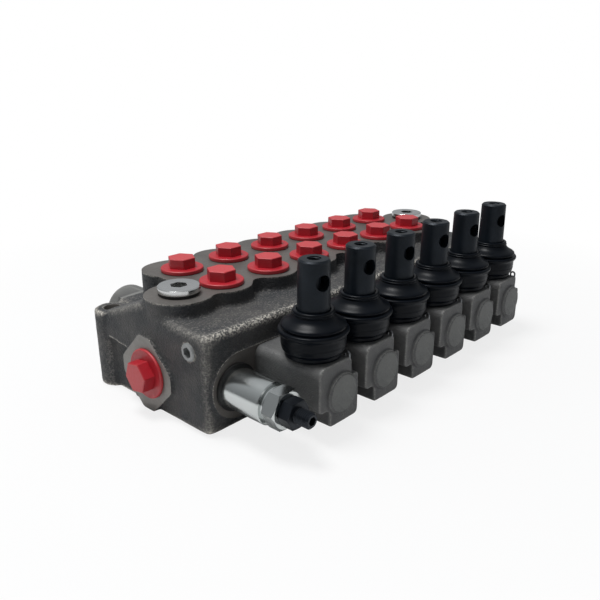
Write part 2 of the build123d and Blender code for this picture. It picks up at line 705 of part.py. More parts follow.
# Rear caps
def make_cap(x):
    cup = rod_y(CAP_R, BODY_HALF_Y, CAP_END_Y, x, SPOOL_Z)
    end_edge = cup.edges().sort_by(Axis.Y)[-1]
    cup = fillet(end_edge, CAP_FILLET)
    cup += block(
        x - CAP_FLANGE_W / 2,
        x + CAP_FLANGE_W / 2,
        BODY_HALF_Y,
        cap_seat_y,
        SPOOL_Z - CAP_FLANGE_H / 2,
        SPOOL_Z + CAP_FLANGE_H / 2,
    )
    cup -= rod_y(CAP_INNER_R, BODY_HALF_Y, CAP_END_Y - CAP_END_WALL, x, SPOOL_Z)
    for side in (-1, 1):
        spot_x = x + side * CAP_SCREW_X
        spot_z = SPOOL_Z + side * CAP_SCREW_Z
        cup -= rod_y(CAP_SCREW_R + LOOSE_GAP, BODY_HALF_Y, cap_seat_y, spot_x, spot_z)
        cup -= rod_y(CAP_SCREW_HEAD_R + LOOSE_GAP, cap_seat_y, CAP_END_Y, spot_x, spot_z)
    return cup


for i, x in enumerate(SECTION_X):
    write(f"rear_cap_{i + 1}", make_cap(x))

# Centring springs, one on each side of the spool collar
front_space = COLLAR_Y - BODY_HALF_Y
rear_start = COLLAR_Y + COLLAR_THICK
rear_space = CAP_END_Y - CAP_END_WALL - rear_start
front_coil = coil(SPRING_COIL_R, SPRING_WIRE_R, SPRING_TURNS, front_space)
rear_coil = coil(SPRING_COIL_R, SPRING_WIRE_R, SPRING_TURNS, rear_space)
for i, x in enumerate(SECTION_X):
    front_spring = Pos(x, BODY_HALF_Y, SPOOL_Z) * Rot(-90, 0, 0) * front_coil
    rear_spring = Pos(x, rear_start, SPOOL_Z) * Rot(-90, 0, 0) * rear_coil
    write(f"centring_springs_{i + 1}", Part() + [front_spring, rear_spring])

# Spool seals
seal_bore = SPOOL_R + SOFT_GAP
front_seals = Part()
rear_seals = Part()
for x in SECTION_X:
    front_seals += rod_y(SEAL_R, PAD_FACE_Y, seal_front_y, x, SPOOL_Z) - rod_y(
        seal_bore, PAD_FACE_Y, seal_front_y, x, SPOOL_Z
    )
    rear_seals += rod_y(SEAL_R, seal_rear_y, BODY_HALF_Y, x, SPOOL_Z) - rod_y(
        seal_bore, seal_rear_y, BODY_HALF_Y, x, SPOOL_Z
    )
write("front_spool_seals", front_seals)
write("rear_spool_seals", rear_seals)

# Relief cartridge
groove_end_y = SLEEVE_END_Y - SLEEVE_GROOVE
sleeve = rod_y(SLEEVE_R, SLEEVE_END_Y, PAD_FACE_Y - RELIEF_SEAL_WIRE, RELIEF_X, RELIEF_Z)
sleeve = chamfer(sleeve.edges().sort_by(Axis.Y)[0], SLEEVE_CHAMFER)
sleeve += rod_y(SLEEVE_GROOVE_R, groove_end_y, SLEEVE_END_Y, RELIEF_X, RELIEF_Z)
sleeve_hex = hex_y(SLEEVE_HEX_AF, SLEEVE_HEX_END_Y, groove_end_y, RELIEF_X, RELIEF_Z)
sleeve += sleeve_hex & hex_end_cone(SLEEVE_HEX_AF, SLEEVE_HEX_END_Y, groove_end_y, RELIEF_X, RELIEF_Z)
sleeve += rod_y(
    SLEEVE_THREAD_R, PAD_FACE_Y - RELIEF_SEAL_WIRE, SLEEVE_THREAD_END_Y - PUSH_GAP, RELIEF_X, RELIEF_Z
)
sleeve += rod_y(SLEEVE_NOSE_R, SLEEVE_THREAD_END_Y - 1, SLEEVE_NOSE_END_Y, RELIEF_X, RELIEF_Z)
seat_y = SLEEVE_NOSE_END_Y - SEAT_LENGTH
sleeve -= rod_y(SLEEVE_BORE_R, ADJUSTER_TIP_Y, seat_y, RELIEF_X, RELIEF_Z)
sleeve -= rod_y(ADJUSTER_R + PUSH_GAP, SLEEVE_HEX_END_Y, ADJUSTER_TIP_Y, RELIEF_X, RELIEF_Z)
sleeve -= rod_y(SEAT_R, seat_y, SLEEVE_NOSE_END_Y, RELIEF_X, RELIEF_Z)
sleeve -= rod_z(DRAIN_R, RELIEF_Z - SLEEVE_THREAD_R, RELIEF_Z + SLEEVE_THREAD_R, RELIEF_X, DRAIN_Y)
write("relief_sleeve", sleeve)

poppet_r = SLEEVE_BORE_R - 3 * RUN_GAP
poppet_body = rod_y(poppet_r, seat_y - POPPET_LENGTH, seat_y - POPPET_CONE, RELIEF_X, RELIEF_Z)
cone_tip_r = SEAT_R - LOOSE_GAP
poppet_tip = Pos(RELIEF_X, seat_y - POPPET_CONE / 2, RELIEF_Z) * Rot(-90, 0, 0) * Cone(
    poppet_r, cone_tip_r, POPPET_CONE
)
write("relief_poppet", poppet_body + poppet_tip)

spring_start = ADJUSTER_TIP_Y
spring_length = seat_y - POPPET_LENGTH - spring_start
relief_coil = coil(RELIEF_SPRING_COIL_R, RELIEF_SPRING_WIRE_R, RELIEF_SPRING_TURNS, spring_length)
write("relief_spring", Pos(RELIEF_X, spring_start, RELIEF_Z) * Rot(-90, 0, 0) * relief_coil)

adjuster = rod_y(ADJUSTER_R, ADJUSTER_END_Y, ADJUSTER_TIP_Y, RELIEF_X, RELIEF_Z)
adjuster -= hex_y(ADJUSTER_SOCKET_AF, ADJUSTER_END_Y, ADJUSTER_END_Y + ADJUSTER_R, RELIEF_X, RELIEF_Z)
write("relief_adjuster", adjuster)

nut_start = SLEEVE_HEX_END_Y - NUT_THICK
nut = hex_y(NUT_AF, nut_start, SLEEVE_HEX_END_Y, RELIEF_X, RELIEF_Z)
nut &= hex_end_cone(NUT_AF, nut_start, SLEEVE_HEX_END_Y, RELIEF_X, RELIEF_Z)
nut -= rod_y(ADJUSTER_R + PUSH_GAP, nut_start, SLEEVE_HEX_END_Y, RELIEF_X, RELIEF_Z)
write("relief_locknut", nut)

seal = rod_y(RELIEF_SEAL_R, PAD_FACE_Y - RELIEF_SEAL_WIRE, PAD_FACE_Y, RELIEF_X, RELIEF_Z)
seal -= rod_y(
    SLEEVE_THREAD_R + PUSH_GAP, PAD_FACE_Y - RELIEF_SEAL_WIRE, PAD_FACE_Y, RELIEF_X, RELIEF_Z
)
write("relief_seal_ring", seal)


# Plastic plugs: flange, hexagon and a hollow stem pushed into the port
def plastic_plug(flange_r, flange, hex_af, turn, height, stem_r, stem):
    disc = rod_z(flange_r, 0, flange, 0, 0)
    disc = fillet(disc.edges().filter_by(GeomType.CIRCLE), PLUG_ROUND)
    head = hex_z(hex_af, 0, height, 0, 0, turn)
    head = fillet(head.edges().filter_by(Axis.Z) + head.faces().sort_by(Axis.Z)[-1].edges(), PLUG_HEX_ROUND)
    plug = disc + head + rod_z(stem_r, -stem, flange / 2, 0, 0)
    return plug - rod_z(stem_r * PLUG_HOLLOW, -stem, 0, 0, 0)


port_plug = plastic_plug(
    PLUG_FLANGE_R, PLUG_FLANGE, PLUG_HEX_AF, 0, PLUG_TOP_Z - DECK_Z, PORT_R - PUSH_GAP, PLUG_STEM
)
write(
    "port_plugs",
    Part() + [Pos(x, y, DECK_Z) * port_plug for x in SECTION_X for y in (FRONT_ROW_Y, REAR_ROW_Y)],
)
end_plug = plastic_plug(
    END_PLUG_FLANGE_R,
    END_PLUG_FLANGE,
    END_PLUG_HEX_AF,
    END_PLUG_TURN,
    END_PLUG_HEIGHT,
    END_PORT_R - PUSH_GAP,
    END_PLUG_STEM,
)
write(
    "end_port_plugs",
    Part()
    + [
        Pos(side * END_FACE_X, END_PORT_Y, END_PORT_Z) * Rot(0, side * 90, 0) * end_plug
        for side in (-1, 1)
    ],
)


# Steel plugs with a collar on a seal washer
def steel_plug():
    collar_top = WASHER_THICK + STEEL_COLLAR
    plug = rod_z(STEEL_COLLAR_R, WASHER_THICK, collar_top, 0, 0)
    plug = chamfer(plug.edges().filter_by(GeomType.CIRCLE), STEEL_CHAMFER)
    plug += rod_z(PORT_R - PUSH_GAP, WASHER_THICK - STEEL_THREAD, WASHER_THICK, 0, 0)
    return plug - hex_z(STEEL_SOCKET_AF, collar_top - STEEL_SOCKET_DEPTH, collar_top, 0, 0)


boss_spots = [(LEFT_BOSS_X, LEFT_BOSS_Y), (RIGHT_BOSS_X, RIGHT_BOSS_Y)]
write("top_port_plugs", Part() + [Pos(x, y, DECK_Z) * steel_plug() for x, y in boss_spots])
washer = rod_z(WASHER_R, 0, WASHER_THICK, 0, 0) - rod_z(PORT_R, 0, WASHER_THICK, 0, 0)
write("seal_washers", Part() + [Pos(x, y, DECK_Z) * washer for x, y in boss_spots])

set_plug_start = -BODY_END_X - SET_PLUG_PROUD
set_plug = rod_x(SET_PLUG_R, set_plug_start, -BODY_END_X + SET_PLUG_DEPTH - 1, SET_PLUG_Y, SET_PLUG_Z)
set_plug = chamfer(set_plug.edges().sort_by(Axis.X)[0], SET_PLUG_CHAMFER)
set_plug -= hex_x(SET_PLUG_SOCKET_AF, set_plug_start, -BODY_END_X + 2, SET_PLUG_Y, SET_PLUG_Z)
write("bleed_plug", set_plug)
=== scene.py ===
import math

import bmesh
import bpy
from mathutils import Matrix, Vector, noise


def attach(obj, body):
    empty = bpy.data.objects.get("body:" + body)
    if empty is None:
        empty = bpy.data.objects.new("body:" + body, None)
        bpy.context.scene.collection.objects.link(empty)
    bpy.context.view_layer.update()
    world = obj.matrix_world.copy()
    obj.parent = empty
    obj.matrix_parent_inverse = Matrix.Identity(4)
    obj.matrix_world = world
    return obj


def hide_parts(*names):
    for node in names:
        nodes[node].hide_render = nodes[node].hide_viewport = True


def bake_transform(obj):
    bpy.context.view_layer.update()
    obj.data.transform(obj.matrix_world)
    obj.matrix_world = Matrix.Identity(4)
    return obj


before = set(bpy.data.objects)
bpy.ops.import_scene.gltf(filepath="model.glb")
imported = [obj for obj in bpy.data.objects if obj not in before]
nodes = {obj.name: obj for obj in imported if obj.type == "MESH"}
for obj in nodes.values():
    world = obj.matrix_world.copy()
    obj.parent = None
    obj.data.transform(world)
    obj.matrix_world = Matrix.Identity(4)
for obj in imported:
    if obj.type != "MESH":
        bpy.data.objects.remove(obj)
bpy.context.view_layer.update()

# Lengths are in millimetres, and the mesh makers turn them into metres
MM = 0.001

# The row of sections, as in the part's source
SECTIONS = 6
PITCH = 35.0
ROW_HALF = (SECTIONS - 1) / 2 * PITCH
SECTION_X = [i * PITCH - ROW_HALF for i in range(SECTIONS)]
SPOOL_Z = 24.0

# The body's block, its rear ledge and its front pad
BODY_HALF_Y = 55.0
BODY_END_X = 131.5
MAIN_END_X = 110.0
SHOULDER_Z = 53.0
REAR_LEDGE_Z = 41.5
REAR_LEDGE_Y = 24.0
PAD_RADIUS = 17.2
PAD_END_X = 128.7
PAD_FACE_Y = -56.0

# The lobed port deck and the two bosses at its ends
DECK_Z = 61.0
DECK_ROOT_Z = 35.5
DECK_END_X = 106.0
FRONT_ROW_Y = -17.0
REAR_ROW_Y = 17.0
REAR_LOBE_Y = 25.0
LOBE_RADIUS = 16.5
NOTCH_DEPTH = 8.4
TOP_BOSS_RADIUS = 18.0
TOP_BOSSES = ((-113.5, -14.0), (115.5, 2.0))
BOSS_BLEND_R = 6.0

# The end walls and the lug columns behind them
WEB_TOP_Z = 47.0
LUG_X = 123.5
LUG_Y = 35.0
LUG_RADIUS = 9.6
LUG_FOOT_RADIUS = 9.4
LUG_TOP_Z = 44.0
LUG_STEP_Z = 29.0
LUG_HOLE_R = 4.5
LUG_HOLE_CHAMFER = 0.8
FOOT_THREAD = (70.0, -45.0)
FOOT_THREAD_R = 3.4
FOOT_THREAD_DEPTH = 14.0

# The end bosses, their ports and the hollows beside them
END_FACE_X = 133.0
END_BOSS_Y = -7.8
END_BOSS_Z = 20.5
END_BOSS_SIDE = 35.4
END_BOSS_CHAMFER = 6.5
END_BOSS_ROOT = 6.0
END_PORT_Y = -9.6
END_PORT_Z = 21.5
END_PORT_R = 10.4
END_PORT_DEPTH = 16.0
END_RECESS = 3.0
END_RECESS_Y = 8.0
END_RECESS_Z = 29.5

# Bores for the spools, the ports, the relief valve and the screws
SPOOL_BORE_R = 8.02
SEAL_SEAT_R = 10.55
SEAL_SEAT_DEPTH = 2.6
CHAMBER_R = 12.5
CHAMBER_HALF = 4.5
CHAMBER_Y = (-36.0, -17.0, 0.0, 17.0, 36.0)
PORT_BORE_R = 5.5
PORT_THREAD_R = 8.3
PORT_THREAD_DEPTH = 13.0
SET_PLUG_Y = -42.7
SET_PLUG_Z = 42.6
SET_PLUG_HOLE_R = 4.65
SET_PLUG_HOLE_DEPTH = 10.0
RELIEF_X = -114.5
RELIEF_Z = 23.0
RELIEF_BORE = ((6.05, 11.6), (6.05, 38.0), (9.05, 38.0))
BOX_SCREWS = ((-10.2, 12.0), (15.9, 35.0))
BOX_SCREW_THREAD_R = 2.55
BOX_SCREW_THREAD_DEPTH = 14.0
BOX_SCREW_HOLE_R = 2.9
CAP_SCREW_X = 13.0
CAP_SCREW_Z = 11.4
CAP_SCREW_THREAD_R = 2.05
CAP_SCREW_THREAD_DEPTH = 12.0

# The lever boxes: outline, flange, round boss, ears, slot, bores and clip holes
LEVER_Y = -82.5
PIVOT_Z = 43.0
PIVOT_HOLE_R = 2.55
BOX_LEFT = -13.5
BOX_RIGHT = 10.0
BOX_WIDE_RIGHT = 15.5
BOX_TOP_Z = 40.0
BOX_STEP_Z = 30.0
BOX_NOTCH_X = -5.8
BOX_NOTCH_Z = 17.0
BOX_BOTTOM_Z = 7.5
BOX_FRONT_Y = -98.5
BOX_FILLET = 2.5
BOX_CORNER_R = 2.6
BOX_LEFT_RADIUS = 4.5
BOX_STEP_RADIUS = 1.5
BOX_BOSS_R = 10.2
BOX_BOSS_X = 1.7
BOX_BOSS_Y = -100.8
BOX_BOSS_STEP_R = 9.2
BOX_BOSS_STEP = 0.8
BOX_FLANGE_RIGHT = 20.4
BOX_FLANGE_THICK = 6.0
EAR_HALF_X = 8.2
EAR_HALF_Y = 5.5
EAR_TOP_Z = 48.5
SLOT_HALF_X = 4.8
SLOT_HALF_Y = 8.2
LEVER_ROOM_HALF_Y = 11.5
BOX_BORE_R = 8.4
BOX_BORE_Y = (-98.0, -50.0)
CLIP_X = 8.6
CLIP_LEGS_Y = (-97.8, -95.0)
CLIP_HOLE_R = 0.6
CLIP_HOLE_LOW_Z = 36.5

# The threads of the relief adjuster and of the lever sockets
NUT_FRONT_Y = -98.0
ADJUSTER_END_Y = -106.0
ADJUSTER_TIP_Y = -76.0
ADJUSTER_R = 4.0
ADJUSTER_PITCH = 1.0
ADJUSTER_KEY_R = 2.3
ADJUSTER_KEY_DEPTH = 4.0
LEVER_TOP_Z = 87.25
LEVER_THREAD_R = 3.38
LEVER_THREAD_LOW_Z = 61.7
LEVER_THREAD_PITCH = 1.25
THREAD_DEPTH = 0.5
THREAD_ROWS = 8

# How far a cutter reaches past the surface that it opens, and which edges stay sharp, in degrees
CLEAR = 1.0
WIDE_CLEAR = 9.0
EDGE_ANGLE = 35.0
CUT_EDGE_ANGLE = 40.0

# Metal that a cast face has left for its cutter, and how deep forms reach into each other
STOCK = 2.0
OVERLAP = 4.0
WALL_OVERLAP = 6.0
CORNER_STEPS = 6

# The body is melted twice: its core with wide roundings, and the whole casting with small ones
CORE_VOXEL = 1.2
CORE_ROUNDING = 60
BODY_VOXEL = 0.9
BODY_ROUNDING = 5
BODY_LUMPS = 0.12
BOX_VOXEL = 0.45
BOX_ROUNDING = 9
BOX_LUMPS = 0.06

CAMERA_PLACE = (-0.30317, -0.27208, 0.16869)
CAMERA_ELEVATION = 19.52
CAMERA_AZIMUTH = -47.4
CAMERA_LENS = 39.1

# The light: the tent's bright side and its two levels, then each lamp's place, size and power
TENT_BRIGHT_SIDE = (0.25, 0.45, 0.85)
TENT_DIM = 0.045
TENT_BRIGHT = 0.5
TENT_SPREAD = (-0.35, 0.9)
TENT_TINT = (0.94, 0.97, 1.0, 1.0)
WHITE = (1.0, 1.0, 1.0, 1.0)
LAMPS = (
    ("key", (-0.22, 0.1, 0.88), 0.35, 6.6),
    ("front", (-0.25, -0.95, 0.5), 0.5, 0.45),
)
LAMP_TARGET = (0, -0.02, 0.03)

# The floor: half its side in millimetres, and where its shadow fades into the tent, in metres
FLOOR_HALF = 6000.0
FLOOR_Z = -0.05
FLOOR_TONE = (0.8, 0.8, 0.8, 1.0)
SHADOW_FADE = (0.15, 0.38)
SHADOW_GLOW = (0.8, 1.0)


# Mesh makers: each adds one closed form to a bmesh, in millimetres
def place(x=0.0, y=0.0, z=0.0, aim="Z"):
    """Where a form stands, and which way its own Z axis points."""
    turns = {
        "Z": Matrix.Identity(4),
        "-Z": Matrix.Rotation(math.pi, 4, "X"),
        "Y": Matrix.Rotation(-math.pi / 2, 4, "X"),
        "-Y": Matrix.Rotation(math.pi / 2, 4, "X"),
        "X": Matrix.Rotation(math.pi / 2, 4, "Y"),
        "-X": Matrix.Rotation(-math.pi / 2, 4, "Y"),
    }
    return Matrix.Translation((x, y, z)) @ turns[aim]


def skin(form, rings, closed=False, finish=0):
    """Joins rings of points with quads, and caps the two ends or joins them to each other."""
    rows = [[form.verts.new(p) for p in ring] for ring in rings]
    count = len(rows[0])
    made = []
    pairs = list(zip(rows, rows[1:]))
    if closed:
        pairs.append((rows[-1], rows[0]))
    for low, high in pairs:
        for k in range(count):
            n = (k + 1) % count
            made.append(form.faces.new((low[k], low[n], high[n], high[k])))
    if not closed:
        made.append(form.faces.new(list(reversed(rows[0]))))
        made.append(form.faces.new(rows[-1]))
    for face in made:
        face.material_index = finish


def turned(form, profile, where, steps=64, closed=False, finish=0):
    """A lathe shape, from radius and height along its profile."""
    rings = []
    for radius, height in profile:
        ring = []
        for k in range(steps):
            turn = 2 * math.pi * k / steps
            ring.append(where @ Vector((radius * math.cos(turn), radius * math.sin(turn), height)))
        rings.append(ring)
    skin(form, rings, closed, finish)


def rod(form, radius, where, start, end, steps, finish):
    turned(form, [(radius, start), (radius, end)], where, steps, finish=finish)


def prism(form, outline, where, start, end, finish=0):
    rings = [[where @ Vector((x, y, h)) for x, y in outline] for h in (start, end)]
    skin(form, rings, finish=finish)


def block(form, x0, x1, y0, y1, z0, z1, finish=0):
    corners = [(x0, y0), (x1, y0), (x1, y1), (x0, y1)]
    prism(form, corners, place(), z0, z1, finish)


def thread_rings(where, radius, depth, pitch, start, end, steps=48):
    """Rings of a screw thread: the radius follows the helix between crest and root."""
    count = round((end - start) / pitch * THREAD_ROWS)
    rings = []
    for row in range(count + 1):
        height = start + (end - start) * row / count
        ring = []
        for k in range(steps):
            phase = (height / pitch - k / steps) % 1.0
            reach = radius - depth * abs(2 * phase - 1)
            turn = 2 * math.pi * k / steps
            ring.append(where @ Vector((reach * math.cos(turn), reach * math.sin(turn), height)))
        rings.append(ring)
    return rings


def plain_ring(where, radius, height, steps=48):
    turns = [2 * math.pi * k / steps for k in range(steps)]
    return [where @ Vector((radius * math.cos(t), radius * math.sin(t), height)) for t in turns]


def rounded(corners):
    """An outline with each corner, given as x, y and radius, turned into an arc."""
    outline = []
    for k, (x, y, radius) in enumerate(corners):
        before = Vector(corners[k - 1][:2])
        after = Vector(corners[(k + 1) % len(corners)][:2])
        corner = Vector((x, y))
        into = (before - corner).normalized()
        out = (after - corner).normalized()
        half = into.angle(out) / 2
        centre = corner + (into + out).normalized() * (radius / math.sin(half))
        start = corner + into * (radius / math.tan(half)) - centre
        end = corner + out * (radius / math.tan(half)) - centre
        for step in range(CORNER_STEPS + 1):
            spot = start.slerp(end, step / CORNER_STEPS).normalized() * radius
            outline.append((centre.x + spot.x, centre.y + spot.y))
    return outline


def arc(cx, cy, radius, start, end, steps):
    """Points of a circle's arc, with its angles in radians."""
    turns = [start + (end - start) * k / steps for k in range(steps + 1)]
    return [(cx + radius * math.cos(t), cy + radius * math.sin(t)) for t in turns]


def new_piece(name, form, finishes=(), sharp=EDGE_ANGLE):
    """Makes an object of the form, in metres, smooth except at its sharp edges."""
    bmesh.ops.recalc_face_normals(form, faces=form.faces)
    mesh = bpy.data.meshes.new(name)
    form.to_mesh(mesh)
    form.free()
    mesh.transform(Matrix.Scale(MM, 4))
    return mesh_piece(name, mesh, finishes, sharp)


def mesh_piece(name, mesh, finishes=(), sharp=EDGE_ANGLE):
    """Stands a mesh in the scene with its finishes on it."""
    for finish in finishes:
        mesh.materials.append(finish)
    mesh.shade_smooth()
    mesh.set_sharp_from_angle(angle=math.radians(sharp))
    piece = bpy.data.objects.new(name, mesh)
    bpy.context.scene.collection.objects.link(piece)
    return piece


def settled(piece):
    """A new mesh of the piece with its modifiers worked in, which then leave the piece."""
    shown = piece.evaluated_get(bpy.context.evaluated_depsgraph_get())
    mesh = bpy.data.meshes.new_from_object(shown)
    piece.modifiers.clear()
    return mesh


def drop(piece):
    """Takes a helper piece and its mesh out of the scene."""
    mesh = piece.data
    bpy.data.objects.remove(piece)
    bpy.data.meshes.remove(mesh)


def cast_skin(name, form, voxel, rounding, lumps):
    """Melts overlapping forms into one casting with soft edges and a slightly uneven skin."""
    rough = new_piece(name + "_rough", form)
    melt = rough.modifiers.new("melt", "REMESH")
    melt.mode = "VOXEL"
    melt.voxel_size = voxel * MM
    ease = rough.modifiers.new("ease", "SMOOTH")
    ease.factor = 0.5
    ease.iterations = rounding
    mesh = settled(rough)
    drop(rough)
    if not lumps:
        return mesh_piece(name, mesh)
    normals = [v.normal.copy() for v in mesh.vertices]
    for vertex, normal in zip(mesh.vertices, normals):
        spot = vertex.co / MM
        broad = noise.noise(spot * 0.11)
        fine = noise.noise(spot * 0.45)
        vertex.co += normal * ((broad * 0.6 + fine * 0.4) * lumps * MM)
    return mesh_piece(name, mesh)


def machine(casting, finishes, *cutters):
    """Cuts bores and flat faces out of a piece. Cut faces keep the finish that the cutter has."""
    for finish in finishes:
        casting.data.materials.append(finish)
    for number, cutter in enumerate(cutters):
        tool = new_piece(f"cutter_{number}", cutter, finishes)
        cut = casting.modifiers.new("cut", "BOOLEAN")
        cut.operation = "DIFFERENCE"
        cut.solver = "MANIFOLD"
        cut.object = tool
        mesh = settled(casting)
        old = casting.data
        casting.data = mesh
        bpy.data.meshes.remove(old)
        drop(tool)
    casting.data.set_sharp_from_angle(angle=math.radians(CUT_EDGE_ANGLE))
    return casting


def row_of(pattern, name, y=0.0):
    """Stands a copy of the pattern at each section, numbered from the left."""
    mesh = pattern.data
    bpy.data.objects.remove(pattern)
    row = []
    for number, x in enumerate(SECTION_X, 1):
        piece = bpy.data.objects.new(f"{name}_{number}", mesh)
        piece.location = (x * MM, y * MM, 0)
        bpy.context.scene.collection.objects.link(piece)
        row.append(piece)
    return row


# The body casting
def blend_outline(ax, ay, ar, bx, by, br, radius):
    """The corner on the right of the way from circle A to circle B, down to a tangent arc."""
    span = math.hypot(bx - ax, by - ay)
    reach_a = ar + radius
    along = (reach_a**2 - (br + radius) ** 2 + span**2) / (2 * span)
    across = math.sqrt(reach_a**2 - along**2)
    ux = (bx - ax) / span
    uy = (by - ay) / span
    cx = ax + along * ux + across * uy
    cy = ay + along * uy - across * ux
    start = math.atan2(ay - cy, ax - cx)
    end = math.atan2(by - cy, bx - cx)
    turn = (end - start + math.pi) % (2 * math.pi) - math.pi
    return [(ax, ay), *arc(cx, cy, radius, start, start + turn, 12), (bx, by)]


def deck_outlines():
    """The port deck as overlapping outlines: a lobe at every port, and round blends between."""
    half_pitch = PITCH / 2
    notch_floor = LOBE_RADIUS - NOTCH_DEPTH
    notch_r = (half_pitch**2 + notch_floor**2 - LOBE_RADIUS**2) / (2 * (LOBE_RADIUS - notch_floor))
    side = ROW_HALF + LOBE_RADIUS
    corner_x = DECK_END_X - LOBE_RADIUS
    circles = []
    for x in SECTION_X:
        circles.append((x, FRONT_ROW_Y, LOBE_RADIUS))
        circles.append((x, REAR_LOBE_Y, LOBE_RADIUS))
    circles += [(turn * corner_x, REAR_LOBE_Y, LOBE_RADIUS) for turn in (-1, 1)]
    circles += [(x, y, TOP_BOSS_RADIUS) for x, y in TOP_BOSSES]
    blends = []
    for x0, x1 in zip(SECTION_X, SECTION_X[1:]):
        blends.append((x0, FRONT_ROW_Y, LOBE_RADIUS, x1, FRONT_ROW_Y, LOBE_RADIUS, notch_r))
        blends.append((x1, REAR_LOBE_Y, LOBE_RADIUS, x0, REAR_LOBE_Y, LOBE_RADIUS, notch_r))
    left, right = TOP_BOSSES
    blends.append((*left, TOP_BOSS_RADIUS, SECTION_X[0], FRONT_ROW_Y, LOBE_RADIUS, BOSS_BLEND_R))
    blends.append((SECTION_X[-1], FRONT_ROW_Y, LOBE_RADIUS, *right, TOP_BOSS_RADIUS, BOSS_BLEND_R))
    plate = [(-side, FRONT_ROW_Y), (side, FRONT_ROW_Y), (side, REAR_LOBE_Y), (-side, REAR_LOBE_Y)]
    rounds = [arc(x, y, r, 0, 2 * math.pi, 64)[:-1] for x, y, r in circles]
    return [plate, *rounds, *(blend_outline(*b) for b in blends)]


def end_boss_outline():
    """The square face round an end port, standing on its corner, with all four corners cut."""
    reach = END_BOSS_SIDE / math.sqrt(2)
    cut = END_BOSS_CHAMFER / math.sqrt(2)
    far = reach - cut
    corners = [(far, -cut), (far, cut), (cut, far), (-cut, far)]
    return corners + [(-y, -z) for y, z in corners]


def body_core():
    """The block and its end walls, before the deck, the pads and the lugs stand on it."""
    form = bmesh.new()
    block(form, -MAIN_END_X, MAIN_END_X, -BODY_HALF_Y, REAR_LEDGE_Y, 0, SHOULDER_Z)
    block(form, -MAIN_END_X, MAIN_END_X, REAR_LEDGE_Y - OVERLAP, BODY_HALF_Y, 0, REAR_LEDGE_Z)
    inner = MAIN_END_X - WALL_OVERLAP
    for side, (_, boss_y) in zip((-1, 1), TOP_BOSSES):
        outline = [
            (-BODY_HALF_Y, 0),
            (-BODY_HALF_Y, SHOULDER_Z),
            (boss_y - TOP_BOSS_RADIUS, SHOULDER_Z),
            (boss_y + TOP_BOSS_RADIUS / 2, DECK_Z - 2),
            (LUG_Y - LUG_RADIUS, WEB_TOP_Z),
            (LUG_Y, LUG_TOP_Z),
            (LUG_Y, 0),
        ]
        skin(form, [[(side * x, y, z) for y, z in outline] for x in (inner, BODY_END_X)])
    return cast_skin("valve_core", form, CORE_VOXEL, CORE_ROUNDING, 0)


def end_recess_cuts():
    """The hollows in the end walls between the end bosses and the lug columns."""
    form = bmesh.new()
    outline = [
        (END_RECESS_Y, -CLEAR),
        (LUG_Y + CLEAR, -CLEAR),
        (LUG_Y + CLEAR, END_RECESS_Z + 2),
        (END_RECESS_Y, END_RECESS_Z - 1),
    ]
    reach = (BODY_END_X - END_RECESS, BODY_END_X + WIDE_CLEAR)
    for side in (-1, 1):
        skin(form, [[(side * x, y, z) for y, z in outline] for x in reach])
    return form


def body_form(core):
    """The core with the deck, the lug columns, the end bosses and the front pad on it."""
    form = bmesh.new()
    form.from_mesh(core.data)
    form.transform(Matrix.Scale(1 / MM, 4))
    for outline in deck_outlines():
        prism(form, outline, place(), DECK_ROOT_Z, DECK_Z + STOCK)
    column = [(LUG_FOOT_RADIUS, 0), (LUG_RADIUS, LUG_STEP_Z), (LUG_RADIUS, LUG_TOP_Z)]
    for side in (-1, 1):
        turned(form, column, place(side * LUG_X, LUG_Y, 0))
        rings = [
            [(side * x, END_BOSS_Y + y, END_BOSS_Z + z) for y, z in end_boss_outline()]
            for x in (END_FACE_X - END_BOSS_ROOT, END_FACE_X + STOCK)
        ]
        skin(form, rings)
    reach = PAD_END_X - PAD_RADIUS
    pad = arc(reach, 0, PAD_RADIUS, -math.pi / 2, math.pi / 2, 24)
    pad += arc(-reach, 0, PAD_RADIUS, math.pi / 2, 3 * math.pi / 2, 24)
    prism(form, pad, place(0, 0, RELIEF_Z, "-Y"), BODY_HALF_Y - OVERLAP, -PAD_FACE_Y + STOCK)
    return form


def facing_cuts():
    """The cutter passes that leave the deck, the foot, the front pad and the end bosses flat."""
    wide = BODY_END_X + 10
    deep = BODY_HALF_Y + WIDE_CLEAR
    flats = bmesh.new()
    block(flats, -wide, wide, -deep, deep, DECK_Z, DECK_Z + WIDE_CLEAR, 1)
    block(flats, -wide, wide, -deep, deep, -WIDE_CLEAR, 0, 1)
    front = bmesh.new()
    block(front, -wide, wide, PAD_FACE_Y - WIDE_CLEAR, PAD_FACE_Y, -WIDE_CLEAR, DECK_Z - 1, 1)
    ends = bmesh.new()
    reach = END_BOSS_SIDE / math.sqrt(2)
    y0 = END_BOSS_Y - reach
    y1 = END_BOSS_Y + reach
    for side in (-1, 1):
        x0, x1 = sorted((side * END_FACE_X, side * (END_FACE_X + WIDE_CLEAR)))
        block(ends, x0, x1, y0, y1, -WIDE_CLEAR, END_BOSS_Z + reach, 2)
    return flats, front, ends


